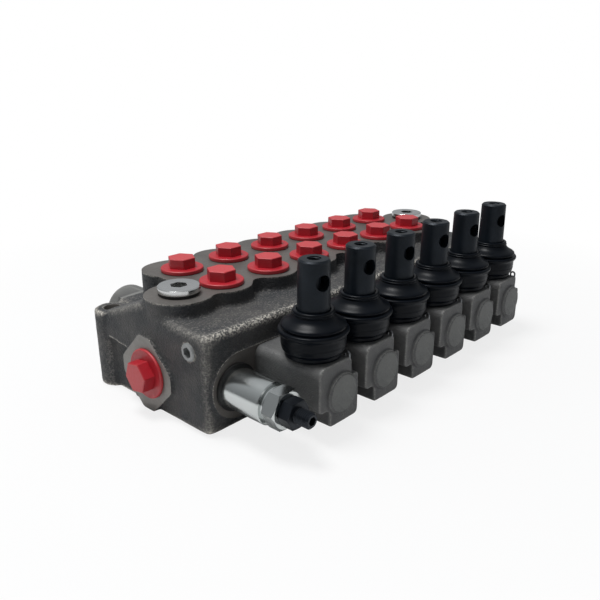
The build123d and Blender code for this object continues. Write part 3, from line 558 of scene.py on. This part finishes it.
def bore_cuts():
    """Spool bores with their chambers and seal seats."""
    form = bmesh.new()
    front_seat = PAD_FACE_Y + SEAL_SEAT_DEPTH
    rear_seat = BODY_HALF_Y - SEAL_SEAT_DEPTH
    profile = [(SEAL_SEAT_R, PAD_FACE_Y - STOCK), (SEAL_SEAT_R, front_seat), (SPOOL_BORE_R, front_seat)]
    for y in CHAMBER_Y:
        near = y - CHAMBER_HALF
        far = y + CHAMBER_HALF
        profile += [(SPOOL_BORE_R, near), (CHAMBER_R, near), (CHAMBER_R, far), (SPOOL_BORE_R, far)]
    profile += [(SPOOL_BORE_R, rear_seat), (SEAL_SEAT_R, rear_seat), (SEAL_SEAT_R, BODY_HALF_Y + STOCK)]
    for x in SECTION_X:
        turned(form, profile, place(x, 0, SPOOL_Z, "Y"), 48, finish=1)
    return form


def port_cuts():
    """Every other bore of the body: ports, lugs, foot threads, set plug, relief valve, screws."""
    form = bmesh.new()
    step_z = DECK_Z - PORT_THREAD_DEPTH
    port = [(PORT_BORE_R, SPOOL_Z - 0.5), (PORT_BORE_R, step_z)]
    port += [(PORT_THREAD_R, step_z), (PORT_THREAD_R, DECK_Z + CLEAR)]
    rows = [(x, y) for x in SECTION_X for y in (FRONT_ROW_Y, REAR_ROW_Y)]
    for x, y in (*rows, *TOP_BOSSES):
        turned(form, port, place(x, y, 0), 48, finish=1)
    lug_hole = [(LUG_HOLE_R, -CLEAR), (LUG_HOLE_R, LUG_TOP_Z - 0.5)]
    lug_hole.append((LUG_HOLE_R + LUG_HOLE_CHAMFER, LUG_TOP_Z + CLEAR))
    foot_x, foot_y = FOOT_THREAD
    for side, aim in ((-1, "-X"), (1, "X")):
        turned(form, lug_hole, place(side * LUG_X, LUG_Y, 0), 48, finish=1)
        spot = place(side * foot_x, foot_y, 0)
        rod(form, FOOT_THREAD_R, spot, -CLEAR, FOOT_THREAD_DEPTH, 32, 1)
        spot = place(0, END_PORT_Y, END_PORT_Z, aim)
        rod(form, END_PORT_R, spot, END_FACE_X - END_PORT_DEPTH, END_FACE_X + CLEAR, 48, 1)
    spot = place(0, SET_PLUG_Y, SET_PLUG_Z, "-X")
    floor_x = BODY_END_X - SET_PLUG_HOLE_DEPTH
    rod(form, SET_PLUG_HOLE_R, spot, floor_x, BODY_END_X + CLEAR, 32, 1)
    relief = [*RELIEF_BORE, (RELIEF_BORE[-1][0], -PAD_FACE_Y + CLEAR)]
    turned(form, relief, place(RELIEF_X, 0, RELIEF_Z, "-Y"), 48, finish=1)
    front = -PAD_FACE_Y
    for x in SECTION_X:
        for dx, z in BOX_SCREWS:
            spot = place(x + dx, 0, z, "-Y")
            floor_y = front - BOX_SCREW_THREAD_DEPTH
            rod(form, BOX_SCREW_THREAD_R, spot, floor_y, front + CLEAR, 24, 1)
        for side in (-1, 1):
            spot = place(x + side * CAP_SCREW_X, 0, SPOOL_Z + side * CAP_SCREW_Z, "Y")
            floor_y = BODY_HALF_Y - CAP_SCREW_THREAD_DEPTH
            rod(form, CAP_SCREW_THREAD_R, spot, floor_y, BODY_HALF_Y + CLEAR, 24, 1)
    return form


# Shader groups
def group(name, inputs, outputs):
    """An empty shader group with its named sockets."""
    tree = bpy.data.node_groups.new(name, "ShaderNodeTree")
    for label, kind, value in inputs:
        socket = tree.interface.new_socket(name=label, in_out="INPUT", socket_type=kind)
        socket.default_value = value
    for label, kind in outputs:
        tree.interface.new_socket(name=label, in_out="OUTPUT", socket_type=kind)
    return tree


def node(tree, kind, links=None, **settings):
    """A node with its settings. Each input takes a link or a plain value."""
    made = tree.nodes.new(kind)
    for key, value in settings.items():
        setattr(made, key, value)
    for key, value in (links or {}).items():
        socket = made.inputs[key]
        if isinstance(value, bpy.types.NodeSocket):
            tree.links.new(value, socket)
        else:
            socket.default_value = value
    return made


def math_node(tree, operation, a, b=0.0):
    return node(tree, "ShaderNodeMath", {0: a, 1: b}, operation=operation).outputs[0]


def span_node(tree, value, low, high, to_low=0.0, to_high=1.0):
    """Maps the span from low to high onto another one, and holds it at both ends."""
    links = {"Value": value, "From Min": low, "From Max": high, "To Min": to_low, "To Max": to_high}
    return node(tree, "ShaderNodeMapRange", links, clamp=True).outputs["Result"]


def mix_colour(tree, factor, a, b):
    """Colour a where the factor is 0, b where it is 1. The node's colour sockets are 6, 7 and 2."""
    made = node(tree, "ShaderNodeMix", data_type="RGBA")
    for index, value in ((0, factor), (6, a), (7, b)):
        socket = made.inputs[index]
        if isinstance(value, bpy.types.NodeSocket):
            tree.links.new(value, socket)
        else:
            socket.default_value = value
    return made.outputs[2]


def noise_node(tree, vector, scale, detail=3.0, rough=0.5):
    links = {"Vector": vector, "Scale": scale, "Detail": detail, "Roughness": rough}
    return node(tree, "ShaderNodeTexNoise", links).outputs["Fac"]


def sand_group():
    """Sand-cast skin: fine grit, open pits and broad patches."""
    tree = group(
        "sand_cast_skin",
        [("Grit Scale", "NodeSocketFloat", 900.0), ("Patch Scale", "NodeSocketFloat", 45.0)],
        [
            ("Grit", "NodeSocketFloat"),
            ("Sparkle", "NodeSocketFloat"),
            ("Glint", "NodeSocketFloat"),
            ("Patch", "NodeSocketFloat"),
        ],
    )
    taken = node(tree, "NodeGroupInput")
    given = node(tree, "NodeGroupOutput")
    spot = node(tree, "ShaderNodeTexCoord").outputs["Object"]
    grit = noise_node(tree, spot, taken.outputs["Grit Scale"], 4.0, 0.65)
    pits = node(
        tree, "ShaderNodeTexVoronoi", {"Vector": spot, "Scale": taken.outputs["Grit Scale"]}
    ).outputs["Distance"]
    height = math_node(tree, "ADD", grit, math_node(tree, "MULTIPLY", pits, 0.5))
    sparkle = noise_node(tree, spot, math_node(tree, "MULTIPLY", taken.outputs["Grit Scale"], 0.9), 3.0)
    patch = noise_node(tree, spot, taken.outputs["Patch Scale"], 4.0, 0.6)
    tree.links.new(height, given.inputs["Grit"])
    tree.links.new(span_node(tree, sparkle, 0.54, 0.64), given.inputs["Sparkle"])
    tree.links.new(span_node(tree, sparkle, 0.44, 0.6), given.inputs["Glint"])
    tree.links.new(span_node(tree, patch, 0.35, 0.65), given.inputs["Patch"])
    return tree


def edge_group():
    """Rubbed outer edges, partly wear and partly painted highlight, and painted shade in the inner
    corners, both from the bend of the surface.
    """
    tree = group(
        "edge_wear_highlight_and_corner_shade",
        [("Start", "NodeSocketFloat", 0.505), ("Full", "NodeSocketFloat", 0.535)],
        [("Edge", "NodeSocketFloat"), ("Corner", "NodeSocketFloat")],
    )
    taken = node(tree, "NodeGroupInput")
    given = node(tree, "NodeGroupOutput")
    bend = node(tree, "ShaderNodeNewGeometry").outputs["Pointiness"]
    edge = span_node(tree, bend, taken.outputs["Start"], taken.outputs["Full"])
    tree.links.new(edge, given.inputs["Edge"])
    tree.links.new(span_node(tree, bend, 0.49, 0.44), given.inputs["Corner"])
    return tree


def bend_group():
    """Masks for painted highlights on the rounded edges of a casting: edges that face the front and up,
    low edges that face between the front and a side, and how far a face looks up.
    """
    tree = group(
        "rounded_edges",
        [("Below", "NodeSocketFloat", 0.0405)],
        [("Top Edge", "NodeSocketFloat"), ("Side Edge", "NodeSocketFloat"), ("Up", "NodeSocketFloat")],
    )
    taken = node(tree, "NodeGroupInput")
    given = node(tree, "NodeGroupOutput")
    sources = node(tree, "ShaderNodeTexCoord").outputs
    facing = node(tree, "ShaderNodeSeparateXYZ", {0: sources["Normal"]}).outputs
    spot = node(tree, "ShaderNodeSeparateXYZ", {0: sources["Object"]}).outputs
    ahead = math_node(tree, "MAXIMUM", math_node(tree, "MULTIPLY", facing["Y"], -1.0), 0.0)
    up = math_node(tree, "MAXIMUM", facing["Z"], 0.0)
    top = math_node(tree, "MULTIPLY", up, ahead)
    bend = node(tree, "ShaderNodeNewGeometry").outputs["Pointiness"]
    proud = span_node(tree, bend, 0.499, 0.503)
    side = math_node(tree, "ABSOLUTE", math_node(tree, "MULTIPLY", facing["X"], facing["Y"]))
    low = math_node(tree, "LESS_THAN", spot["Z"], taken.outputs["Below"])
    top = math_node(tree, "MULTIPLY", span_node(tree, top, 0.12, 0.45), proud)
    side = math_node(tree, "MULTIPLY", span_node(tree, side, 0.15, 0.45), low)
    side = math_node(tree, "MULTIPLY", side, proud)
    tree.links.new(top, given.inputs["Top Edge"])
    tree.links.new(side, given.inputs["Side Edge"])
    tree.links.new(up, given.inputs["Up"])
    return tree


def smudge_group():
    """Handling marks: soft blotches that change gloss and tone."""
    tree = group(
        "handling_marks",
        [("Scale", "NodeSocketFloat", 60.0)],
        [("Blotch", "NodeSocketFloat"), ("Speck", "NodeSocketFloat")],
    )
    taken = node(tree, "NodeGroupInput")
    given = node(tree, "NodeGroupOutput")
    spot = node(tree, "ShaderNodeTexCoord").outputs["Object"]
    blotch = noise_node(tree, spot, taken.outputs["Scale"], 5.0, 0.6)
    speck = noise_node(tree, spot, math_node(tree, "MULTIPLY", taken.outputs["Scale"], 14.0), 2.0)
    tree.links.new(span_node(tree, blotch, 0.3, 0.7), given.inputs["Blotch"])
    tree.links.new(span_node(tree, speck, 0.3, 0.7), given.inputs["Speck"])
    return tree


def tool_group():
    """Tool marks of a mill or a lathe: thin lines across the stretched direction."""
    tree = group(
        "tool_marks",
        [("Stretch", "NodeSocketVector", (1.0, 1.0, 1.0)), ("Scale", "NodeSocketFloat", 900.0)],
        [("Line", "NodeSocketFloat")],
    )
    taken = node(tree, "NodeGroupInput")
    given = node(tree, "NodeGroupOutput")
    spot = node(tree, "ShaderNodeTexCoord").outputs["Object"]
    drawn = node(
        tree, "ShaderNodeVectorMath", {0: spot, 1: taken.outputs["Stretch"]}, operation="MULTIPLY"
    ).outputs[0]
    line = noise_node(tree, drawn, taken.outputs["Scale"], 2.0)
    tree.links.new(line, given.inputs["Line"])
    return tree


SAND = sand_group()
EDGES = edge_group()
BENDS = bend_group()
MARKS = smudge_group()
TOOLING = tool_group()


class Finish:
    """A material with one Principled shader, and helpers that wire the shader groups to it."""

    def __init__(self, name, **values):
        self.material = bpy.data.materials.new(name)
        self.material.use_nodes = True
        self.tree = self.material.node_tree
        self.tree.nodes.clear()
        out = node(self.tree, "ShaderNodeOutputMaterial")
        self.shader = node(self.tree, "ShaderNodeBsdfPrincipled")
        self.tree.links.new(self.shader.outputs[0], out.inputs[0])
        for key, value in values.items():
            self.shader.inputs[key.replace("_", " ")].default_value = value

    def use(self, tree, **values):
        placed = node(self.tree, "ShaderNodeGroup", node_tree=tree)
        for key, value in values.items():
            placed.inputs[key.replace("_", " ")].default_value = value
        return placed.outputs

    def feed(self, key, value):
        self.tree.links.new(value, self.shader.inputs[key])

    def bump(self, height, depth_mm):
        links = {"Height": height, "Strength": 1.0, "Distance": depth_mm * MM}
        made = node(self.tree, "ShaderNodeBump", links)
        self.feed("Normal", made.outputs[0])

    def mix(self, factor, a, b):
        return mix_colour(self.tree, factor, a, b)

    def span(self, value, low, high, to_low=0.0, to_high=1.0):
        return span_node(self.tree, value, low, high, to_low, to_high)

    def times(self, a, b):
        return math_node(self.tree, "MULTIPLY", a, b)

    def larger(self, a, b):
        return math_node(self.tree, "MAXIMUM", a, b)


def tone(red, green, blue):
    """A screen colour, 0 to 255, as a linear one."""
    def linear(value):
        value /= 255
        return value / 12.92 if value <= 0.04045 else ((value + 0.055) / 1.055) ** 2.4
    return (linear(red), linear(green), linear(blue), 1.0)


# Painted shade: the colour that darkens the inner corners of a casting
PAINTED_CORNER_SHADE = tone(18, 18, 22)
# How strong the painted highlight on low vertical edges is, against the one on the front top edges
SIDE_HIGHLIGHT_SHARE = 0.16


def cast_finish(name, dark, light, wear_and_highlight, grit_scale, grit_mm, wear_and_highlight_share, even=0.0):
    """A cast skin. Its rubbed outer edges are partly wear and partly painted highlight. The painted
    highlight on its edges that face the front and up, and on its low vertical edges, is broken into
    glints, or even all along them.
    """
    finish = Finish(name, Roughness=0.6)
    sand = finish.use(SAND, Grit_Scale=grit_scale)
    edges = finish.use(EDGES)
    base = finish.mix(sand["Patch"], dark, light)
    # Painted shade darkens the inner corners
    base = finish.mix(finish.times(edges["Corner"], 0.6), base, PAINTED_CORNER_SHADE)
    bends = finish.use(BENDS)
    # Rubbed outer edges broken into glints: partly wear, partly painted highlight
    wear_and_highlight_mask = finish.times(edges["Edge"], finish.span(sand["Glint"], 0, 1, 0.3, 1.0))
    # Painted highlight on edges that face the front and up, and on low vertical edges
    edge_highlight = finish.larger(bends["Top Edge"], finish.times(bends["Side Edge"], SIDE_HIGHLIGHT_SHARE))
    edge_highlight = finish.times(edge_highlight, finish.span(sand["Glint"], 0, 1, even, 1.0))
    wear_and_highlight_mask = finish.larger(wear_and_highlight_mask, edge_highlight)
    # Painted glints: single grains take the lighter colour, more of them on faces that look up
    grain_glints = finish.times(sand["Sparkle"], finish.span(bends["Up"], 0, 1, 0.03, 0.2))
    wear_and_highlight_mask = finish.times(finish.larger(wear_and_highlight_mask, grain_glints), wear_and_highlight_share)
    finish.feed("Base Color", finish.mix(wear_and_highlight_mask, base, wear_and_highlight))
    finish.feed("Roughness", finish.span(sand["Patch"], 0, 1, 0.62, 0.5))
    finish.feed("Metallic", finish.span(wear_and_highlight_mask, 0, 1, 0.15, 0.8))
    finish.bump(sand["Grit"], grit_mm)
    return finish.material


def machined_finish(name, dark, light, stretch, metallic=0.6):
    """A milled face: tool lines across the stretched direction, and blotches from handling."""
    finish = Finish(name, Metallic=metallic)
    tooling = finish.use(TOOLING, Stretch=stretch)
    marks = finish.use(MARKS)
    base = finish.mix(marks["Blotch"], dark, light)
    base = finish.mix(finish.span(tooling["Line"], 0.3, 0.7, 0, 0.25), base, light)
    finish.feed("Base Color", base)
    finish.feed("Roughness", finish.span(marks["Speck"], 0, 1, 0.44, 0.6))
    finish.bump(tooling["Line"], 0.02)
    return finish.material


def plated_finish(name, colour, rough, stretch=(1.0, 1.0, 1.0), depth=0.006, metallic=1.0):
    """Plated or ground steel, with faint tool lines of the given depth in millimetres."""
    finish = Finish(name, Metallic=metallic)
    tooling = finish.use(TOOLING, Stretch=stretch)
    marks = finish.use(MARKS, Scale=40.0)
    shade = tuple(c * 0.88 for c in colour[:3]) + (1.0,)
    finish.feed("Base Color", finish.mix(marks["Blotch"], shade, colour))
    finish.feed("Roughness", finish.span(marks["Blotch"], 0, 1, rough, rough + 0.05))
    finish.bump(tooling["Line"], depth)
    return finish.material


def dark_finish(name, dark, light, rough, depth=0.02, metallic=0.3, shine=0.5):
    """Blackened steel and rubber: near black, with blotches in tone and gloss."""
    finish = Finish(name, Metallic=metallic, Specular_IOR_Level=shine)
    marks = finish.use(MARKS, Scale=70.0)
    finish.feed("Base Color", finish.mix(marks["Blotch"], dark, light))
    finish.feed("Roughness", finish.span(marks["Blotch"], 0, 1, rough + 0.08, rough - 0.06))
    finish.bump(marks["Speck"], depth)
    return finish.material


def plastic_finish():
    """The moulded red of the transport plugs, a little paler along its edges with a painted highlight.
    """
    finish = Finish("red_plug_plastic", Specular_IOR_Level=0.6)
    marks = finish.use(MARKS, Scale=50.0)
    edges = finish.use(EDGES)
    base = finish.mix(marks["Blotch"], tone(160, 18, 33), tone(174, 25, 39))
    # Painted highlight along the edges
    base = finish.mix(finish.times(edges["Edge"], 0.3), base, tone(225, 90, 90))
    finish.feed("Base Color", base)
    finish.feed("Roughness", finish.span(marks["Speck"], 0, 1, 0.38, 0.5))
    finish.bump(marks["Speck"], 0.03)
    return finish.material


CAST_IRON = cast_finish(
    "sand_cast_iron", tone(50, 52, 55), tone(74, 73, 72), tone(215, 210, 200), 1000.0, 0.7, 0.9
)
MACHINED_IRON = machined_finish(
    "milled_iron", tone(98, 95, 92), tone(116, 112, 108), (0.15, 2.0, 1.0)
)
# The end faces: a paler copy of the milled finish, with painted light for faces that look sideways and
# catch less light than the deck
FACED_IRON_PAINTED_LIGHT = machined_finish(
    "faced_iron_painted_light", tone(128, 127, 123), tone(142, 140, 136), (1.0, 0.3, 2.0), 0.4
)
# The box edges take the painted highlight evenly along them
BOX_ALLOY = cast_finish(
    "box_casting", tone(80, 81, 82), tone(98, 98, 97), tone(165, 164, 160), 1300.0, 0.25, 0.6, 0.5
)
MACHINED_BOX = machined_finish(
    "box_cut_faces", tone(90, 92, 91), tone(103, 104, 102), (1.0, 0.2, 1.0), 0.4
)
CAP_ALLOY = cast_finish(
    "cap_casting", tone(112, 112, 110), tone(130, 130, 127), tone(170, 170, 165), 1500.0, 0.12, 0.4
)
BOOT_RUBBER = dark_finish("boot_rubber", tone(5, 9, 15), tone(9, 14, 21), 0.34, 0.006, 0.0, 0.12)
SEAL_RUBBER = dark_finish("seal_rubber", tone(18, 18, 19), tone(26, 26, 27), 0.5, 0.02, 0.0)
LEVER_STEEL = dark_finish("blackened_steel", tone(17, 23, 29), tone(27, 34, 42), 0.42, 0.008, 0.4, 0.3)
SCREW_STEEL = dark_finish("black_screw_steel", tone(22, 26, 32), tone(34, 39, 46), 0.35, 0.008, 0.6)
ZINC = plated_finish("zinc_plate", tone(205, 209, 208), 0.16, (1.0, 0.1, 1.0), 0.0003)
PLUG_STEEL = plated_finish("plug_steel", tone(214, 215, 214), 0.16, depth=0.0003)
SET_PLUG_STEEL = plated_finish("set_plug_steel", tone(150, 152, 152), 0.35, depth=0.001, metallic=0.4)
CLIP_STEEL = plated_finish("clip_wire", tone(120, 122, 124), 0.3)
SPRING_STEEL = plated_finish("spring_wire", tone(150, 150, 152), 0.3)
SPOOL_STEEL = plated_finish("ground_spool", tone(190, 192, 195), 0.15, (1.0, 0.1, 1.0), 0.002)
RED_PLASTIC = plastic_finish()


# Camera, light and floor
def place_camera(scene):
    camera_data = bpy.data.cameras.new("camera")
    camera_data.lens = CAMERA_LENS
    camera_data.sensor_width = 36.0
    camera_data.clip_start = 0.01
    camera = bpy.data.objects.new("camera", camera_data)
    camera.location = CAMERA_PLACE
    camera.rotation_euler = (math.radians(90 - CAMERA_ELEVATION), 0, math.radians(CAMERA_AZIMUTH))
    scene.collection.objects.link(camera)
    scene.camera = camera


def light_tent(scene):
    """A pale tent that is brightest overhead and behind, and dim on the viewer's side."""
    world = bpy.data.worlds.new("studio")
    scene.world = world
    world.use_nodes = True
    tree = world.node_tree
    tree.nodes.clear()
    toward = node(tree, "ShaderNodeTexCoord").outputs["Generated"]
    rise = node(tree, "ShaderNodeVectorMath", {0: toward, 1: TENT_BRIGHT_SIDE}, operation="DOT_PRODUCT")
    tent = span_node(tree, rise.outputs["Value"], *TENT_SPREAD, TENT_DIM, TENT_BRIGHT)
    path = node(tree, "ShaderNodeLightPath")
    seen = math_node(tree, "MAXIMUM", path.outputs["Is Camera Ray"], path.outputs["Is Transmission Ray"])
    soft = node(tree, "ShaderNodeBackground", {"Color": TENT_TINT, "Strength": tent})
    white = node(tree, "ShaderNodeBackground", {"Color": WHITE, "Strength": 1.0})
    both = node(tree, "ShaderNodeMixShader", {0: seen, 1: soft.outputs[0], 2: white.outputs[0]})
    out = node(tree, "ShaderNodeOutputWorld")
    tree.links.new(both.outputs[0], out.inputs[0])


def hang_lamps(scene):
    for name, spot, size, power in LAMPS:
        lamp = bpy.data.lights.new(name, "AREA")
        lamp.shape = "DISK"
        lamp.size = size
        lamp.energy = power
        holder = bpy.data.objects.new(name, lamp)
        holder.location = spot
        aim = Vector(LAMP_TARGET) - Vector(spot)
        holder.rotation_euler = aim.to_track_quat("-Z", "Y").to_euler()
        scene.collection.objects.link(holder)


def lay_floor():
    """The floor keeps the shadow near the valve and fades into the white tent further off."""
    form = bmesh.new()
    half = FLOOR_HALF
    corners = [(-half, -half), (half, -half), (half, half), (-half, half)]
    form.faces.new([form.verts.new((x, y, FLOOR_Z)) for x, y in corners])
    floor_finish = bpy.data.materials.new("floor")
    floor_finish.use_nodes = True
    tree = floor_finish.node_tree
    tree.nodes.clear()
    path = node(tree, "ShaderNodeLightPath")
    spot = node(tree, "ShaderNodeNewGeometry").outputs["Position"]
    far = node(tree, "ShaderNodeVectorMath", {0: spot}, operation="LENGTH").outputs["Value"]
    fade = span_node(tree, far, *SHADOW_FADE, *SHADOW_GLOW)
    pale = node(tree, "ShaderNodeBsdfDiffuse", {"Color": FLOOR_TONE})
    glow = node(tree, "ShaderNodeEmission", {"Color": WHITE, "Strength": 1.0})
    share = math_node(tree, "MULTIPLY", path.outputs["Is Camera Ray"], fade)
    both = node(tree, "ShaderNodeMixShader", {0: share, 1: pale.outputs[0], 2: glow.outputs[0]})
    out = node(tree, "ShaderNodeOutputMaterial")
    tree.links.new(both.outputs[0], out.inputs[0])
    new_piece("floor", form, [floor_finish])


bpy.context.scene.view_settings.view_transform = "Standard"
place_camera(bpy.context.scene)
light_tent(bpy.context.scene)
hang_lamps(bpy.context.scene)
lay_floor()


# Body
def make_body():
    core = machine(body_core(), [], end_recess_cuts())
    form = body_form(core)
    casting = cast_skin("valve_casting", form, BODY_VOXEL, BODY_ROUNDING, BODY_LUMPS)
    drop(core)
    finishes = [CAST_IRON, MACHINED_IRON, FACED_IRON_PAINTED_LIGHT]
    casting = machine(casting, finishes, *facing_cuts(), bore_cuts(), port_cuts())
    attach(casting, "housing")
    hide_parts("valve_body")


make_body()


# Lever boxes
def box_form():
    """One box casting: stepped outline, wider flange at the body, round boss and ears."""
    form = bmesh.new()
    outline = rounded(
        [
            (BOX_LEFT, BOX_NOTCH_Z, BOX_FILLET),
            (BOX_LEFT, BOX_TOP_Z, BOX_LEFT_RADIUS),
            (BOX_RIGHT, BOX_TOP_Z, BOX_CORNER_R),
            (BOX_RIGHT, BOX_STEP_Z, BOX_STEP_RADIUS),
            (BOX_WIDE_RIGHT, BOX_STEP_Z, BOX_STEP_RADIUS),
            (BOX_WIDE_RIGHT, BOX_BOTTOM_Z, BOX_FILLET),
            (BOX_NOTCH_X, BOX_BOTTOM_Z, BOX_STEP_RADIUS),
            (BOX_NOTCH_X, BOX_NOTCH_Z, BOX_FILLET),
        ]
    )
    back = PAD_FACE_Y + 1
    skin(form, [[(x, y, z) for x, z in outline] for y in (BOX_FRONT_Y, back)])
    flange_y = PAD_FACE_Y - BOX_FLANGE_THICK
    flange = rounded(
        [
            (BOX_LEFT, BOX_BOTTOM_Z, BOX_FILLET),
            (BOX_LEFT, BOX_TOP_Z, BOX_LEFT_RADIUS),
            (BOX_FLANGE_RIGHT, BOX_TOP_Z, BOX_FILLET),
            (BOX_FLANGE_RIGHT, BOX_BOTTOM_Z, BOX_FILLET),
        ]
    )
    skin(form, [[(x, y, z) for x, z in flange] for y in (flange_y, back)])
    step_y = BOX_BOSS_Y + BOX_BOSS_STEP
    boss = [(BOX_BOSS_R, -BOX_FRONT_Y - 3), (BOX_BOSS_R, -step_y)]
    boss += [(BOX_BOSS_STEP_R, -step_y), (BOX_BOSS_STEP_R, -BOX_BOSS_Y + 0.3)]
    turned(form, boss, place(BOX_BOSS_X, 0, SPOOL_Z, "-Y"))
    ears_y = (LEVER_Y - EAR_HALF_Y, LEVER_Y + EAR_HALF_Y)
    block(form, -EAR_HALF_X, EAR_HALF_X, *ears_y, BOX_TOP_Z - 3, EAR_TOP_Z)
    return form


def box_cuts():
    """Faces, lever slot with its room below, spool bore, and the holes of pin, screws and clip."""
    wide = 40
    high = 60
    back = bmesh.new()
    block(back, -wide, wide, PAD_FACE_Y, PAD_FACE_Y + WIDE_CLEAR, -WIDE_CLEAR, high, 1)
    front = bmesh.new()
    block(front, -wide, wide, BOX_BOSS_Y - WIDE_CLEAR, BOX_BOSS_Y, -WIDE_CLEAR, high, 1)
    slot = bmesh.new()
    slot_y = (LEVER_Y - SLOT_HALF_Y, LEVER_Y + SLOT_HALF_Y)
    block(slot, -SLOT_HALF_X, SLOT_HALF_X, *slot_y, BOX_TOP_Z - 5, high, 1)
    room = bmesh.new()
    room_y = (LEVER_Y - LEVER_ROOM_HALF_Y, LEVER_Y + LEVER_ROOM_HALF_Y)
    block(room, -SLOT_HALF_X, SLOT_HALF_X, *room_y, SPOOL_Z, BOX_TOP_Z - 4, 1)
    bore = bmesh.new()
    bore_front, bore_back = BOX_BORE_Y
    rod(bore, BOX_BORE_R, place(0, 0, SPOOL_Z, "-Y"), -bore_back, -bore_front, 48, 1)
    holes = bmesh.new()
    rod(holes, PIVOT_HOLE_R, place(0, LEVER_Y, PIVOT_Z, "X"), -15, 15, 32, 1)
    for x, z in BOX_SCREWS:
        rod(holes, BOX_SCREW_HOLE_R, place(x, 0, z, "-Y"), 50, 70, 32, 1)
    for y in CLIP_LEGS_Y:
        rod(holes, CLIP_HOLE_R, place(CLIP_X, y, 0), CLIP_HOLE_LOW_Z, BOX_TOP_Z + 5, 16, 1)
    return back, front, slot, room, bore, holes


def make_boxes():
    pattern = cast_skin("lever_box_casting", box_form(), BOX_VOXEL, BOX_ROUNDING, BOX_LUMPS)
    pattern = machine(pattern, [BOX_ALLOY, MACHINED_BOX], *box_cuts())
    for number, box in enumerate(row_of(pattern, "box_casting"), 1):
        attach(box, "housing")
        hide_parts(f"lever_box_{number}")


make_boxes()

# Boots: radius and height of the folds, up the outside and down the inside
BOOT_OUTSIDE = (
    (13.4, 40.0), (13.9, 40.3), (14.0, 41.2), (13.8, 41.9), (14.0, 42.6), (14.6, 43.1),
    (15.2, 43.6), (15.4, 44.2), (15.3, 44.6), (15.6, 45.0), (15.5, 45.5), (15.7, 45.9),
    (15.8, 46.4), (15.6, 46.9), (15.8, 47.4), (15.8, 49.4), (15.9, 50.4), (16.3, 51.3),
    (16.9, 51.9), (17.2, 52.5), (17.2, 53.2), (17.0, 53.7), (16.5, 53.9), (15.5, 54.0),
    (15.2, 54.3), (15.6, 54.7), (15.9, 55.2), (15.8, 55.8), (15.2, 56.4), (14.0, 57.1),
    (12.7, 57.8), (11.6, 58.6), (10.9, 59.4), (10.4, 60.2), (10.1, 60.6), (10.4, 61.0),
    (10.4, 61.4), (10.0, 61.7), (10.1, 62.1), (10.1, 62.5), (9.8, 62.9), (9.2, 63.0),
)
BOOT_INSIDE = (
    (8.4, 62.9), (8.4, 58.0), (9.6, 57.0), (13.0, 55.0), (14.0, 53.0), (14.0, 44.0),
    (13.0, 42.0), (12.4, 40.0),
)


def make_boots():
    for number, x in enumerate(SECTION_X, 1):
        form = bmesh.new()
        turned(form, BOOT_OUTSIDE + BOOT_INSIDE, place(x, LEVER_Y, 0), 96, closed=True)
        boot = new_piece(f"rubber_boot_{number}", form, [BOOT_RUBBER], 60)
        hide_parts(f"boot_{number}")
        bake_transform(boot)


make_boots()


# Threads
def make_adjuster():
    """The relief adjuster: plain inside the nut, threaded outside, with a hexagon socket."""
    where = place(RELIEF_X, 0, RELIEF_Z, "-Y")
    end = -ADJUSTER_END_Y
    nut_front = -NUT_FRONT_Y
    rings = [plain_ring(where, ADJUSTER_R - 0.05, h) for h in (-ADJUSTER_TIP_Y, nut_front - 1)]
    rings += thread_rings(
        where, ADJUSTER_R - 0.02, THREAD_DEPTH, ADJUSTER_PITCH, nut_front - 0.8, end - 0.8
    )
    rings += [plain_ring(where, ADJUSTER_R - 0.5, end - 0.5), plain_ring(where, ADJUSTER_R - 0.9, end)]
    form = bmesh.new()
    skin(form, rings)
    key = bmesh.new()
    turns = [k * math.pi / 3 for k in range(6)]
    hexagon = [(ADJUSTER_KEY_R * math.cos(t), ADJUSTER_KEY_R * math.sin(t)) for t in turns]
    prism(key, hexagon, where, end - ADJUSTER_KEY_DEPTH, end + CLEAR)
    stud = machine(new_piece("adjuster_stud", form), [SCREW_STEEL, SCREW_STEEL], key)
    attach(stud, "housing")
    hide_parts("relief_adjuster")


def make_lever_threads():
    """Turns of thread that line the bore in the top of each lever socket."""
    where = place()
    low = LEVER_THREAD_LOW_Z
    rings = thread_rings(
        where, LEVER_THREAD_R, THREAD_DEPTH, LEVER_THREAD_PITCH, low, LEVER_TOP_Z - 0.6
    )
    rings += [plain_ring(where, LEVER_THREAD_R, h) for h in (LEVER_TOP_Z - 0.5, low - 0.1)]
    form = bmesh.new()
    skin(form, rings, closed=True)
    pattern = new_piece("lever_thread", form, [LEVER_STEEL], 50)
    for number, thread in enumerate(row_of(pattern, "lever_thread", LEVER_Y), 1):
        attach(thread, f"lever_{number}")


make_adjuster()
make_lever_threads()

# Finishes of the pieces that stay as they are in the frame
KEPT_FINISHES = {
    "lever": LEVER_STEEL,
    "pivot_pins": SPOOL_STEEL,
    "wire_clips": CLIP_STEEL,
    "box_screws": SCREW_STEEL,
    "cap_screws": SCREW_STEEL,
    "rear_cap": CAP_ALLOY,
    "centring_springs": SPRING_STEEL,
    "front_spool_seals": SEAL_RUBBER,
    "rear_spool_seals": SEAL_RUBBER,
    "relief_sleeve": ZINC,
    "relief_poppet": SPOOL_STEEL,
    "relief_spring": SPRING_STEEL,
    "relief_locknut": SCREW_STEEL,
    "relief_seal_ring": SEAL_RUBBER,
    "port_plugs": RED_PLASTIC,
    "end_port_plugs": RED_PLASTIC,
    "top_port_plugs": PLUG_STEEL,
    "seal_washers": SEAL_RUBBER,
    "bleed_plug": SET_PLUG_STEEL,
    "spool": SPOOL_STEEL,
}

for name, piece in nodes.items():
    kind = name.rstrip("0123456789").rstrip("_")
    if kind in KEPT_FINISHES:
        piece.data.materials.clear()
        piece.data.materials.append(KEPT_FINISHES[kind])
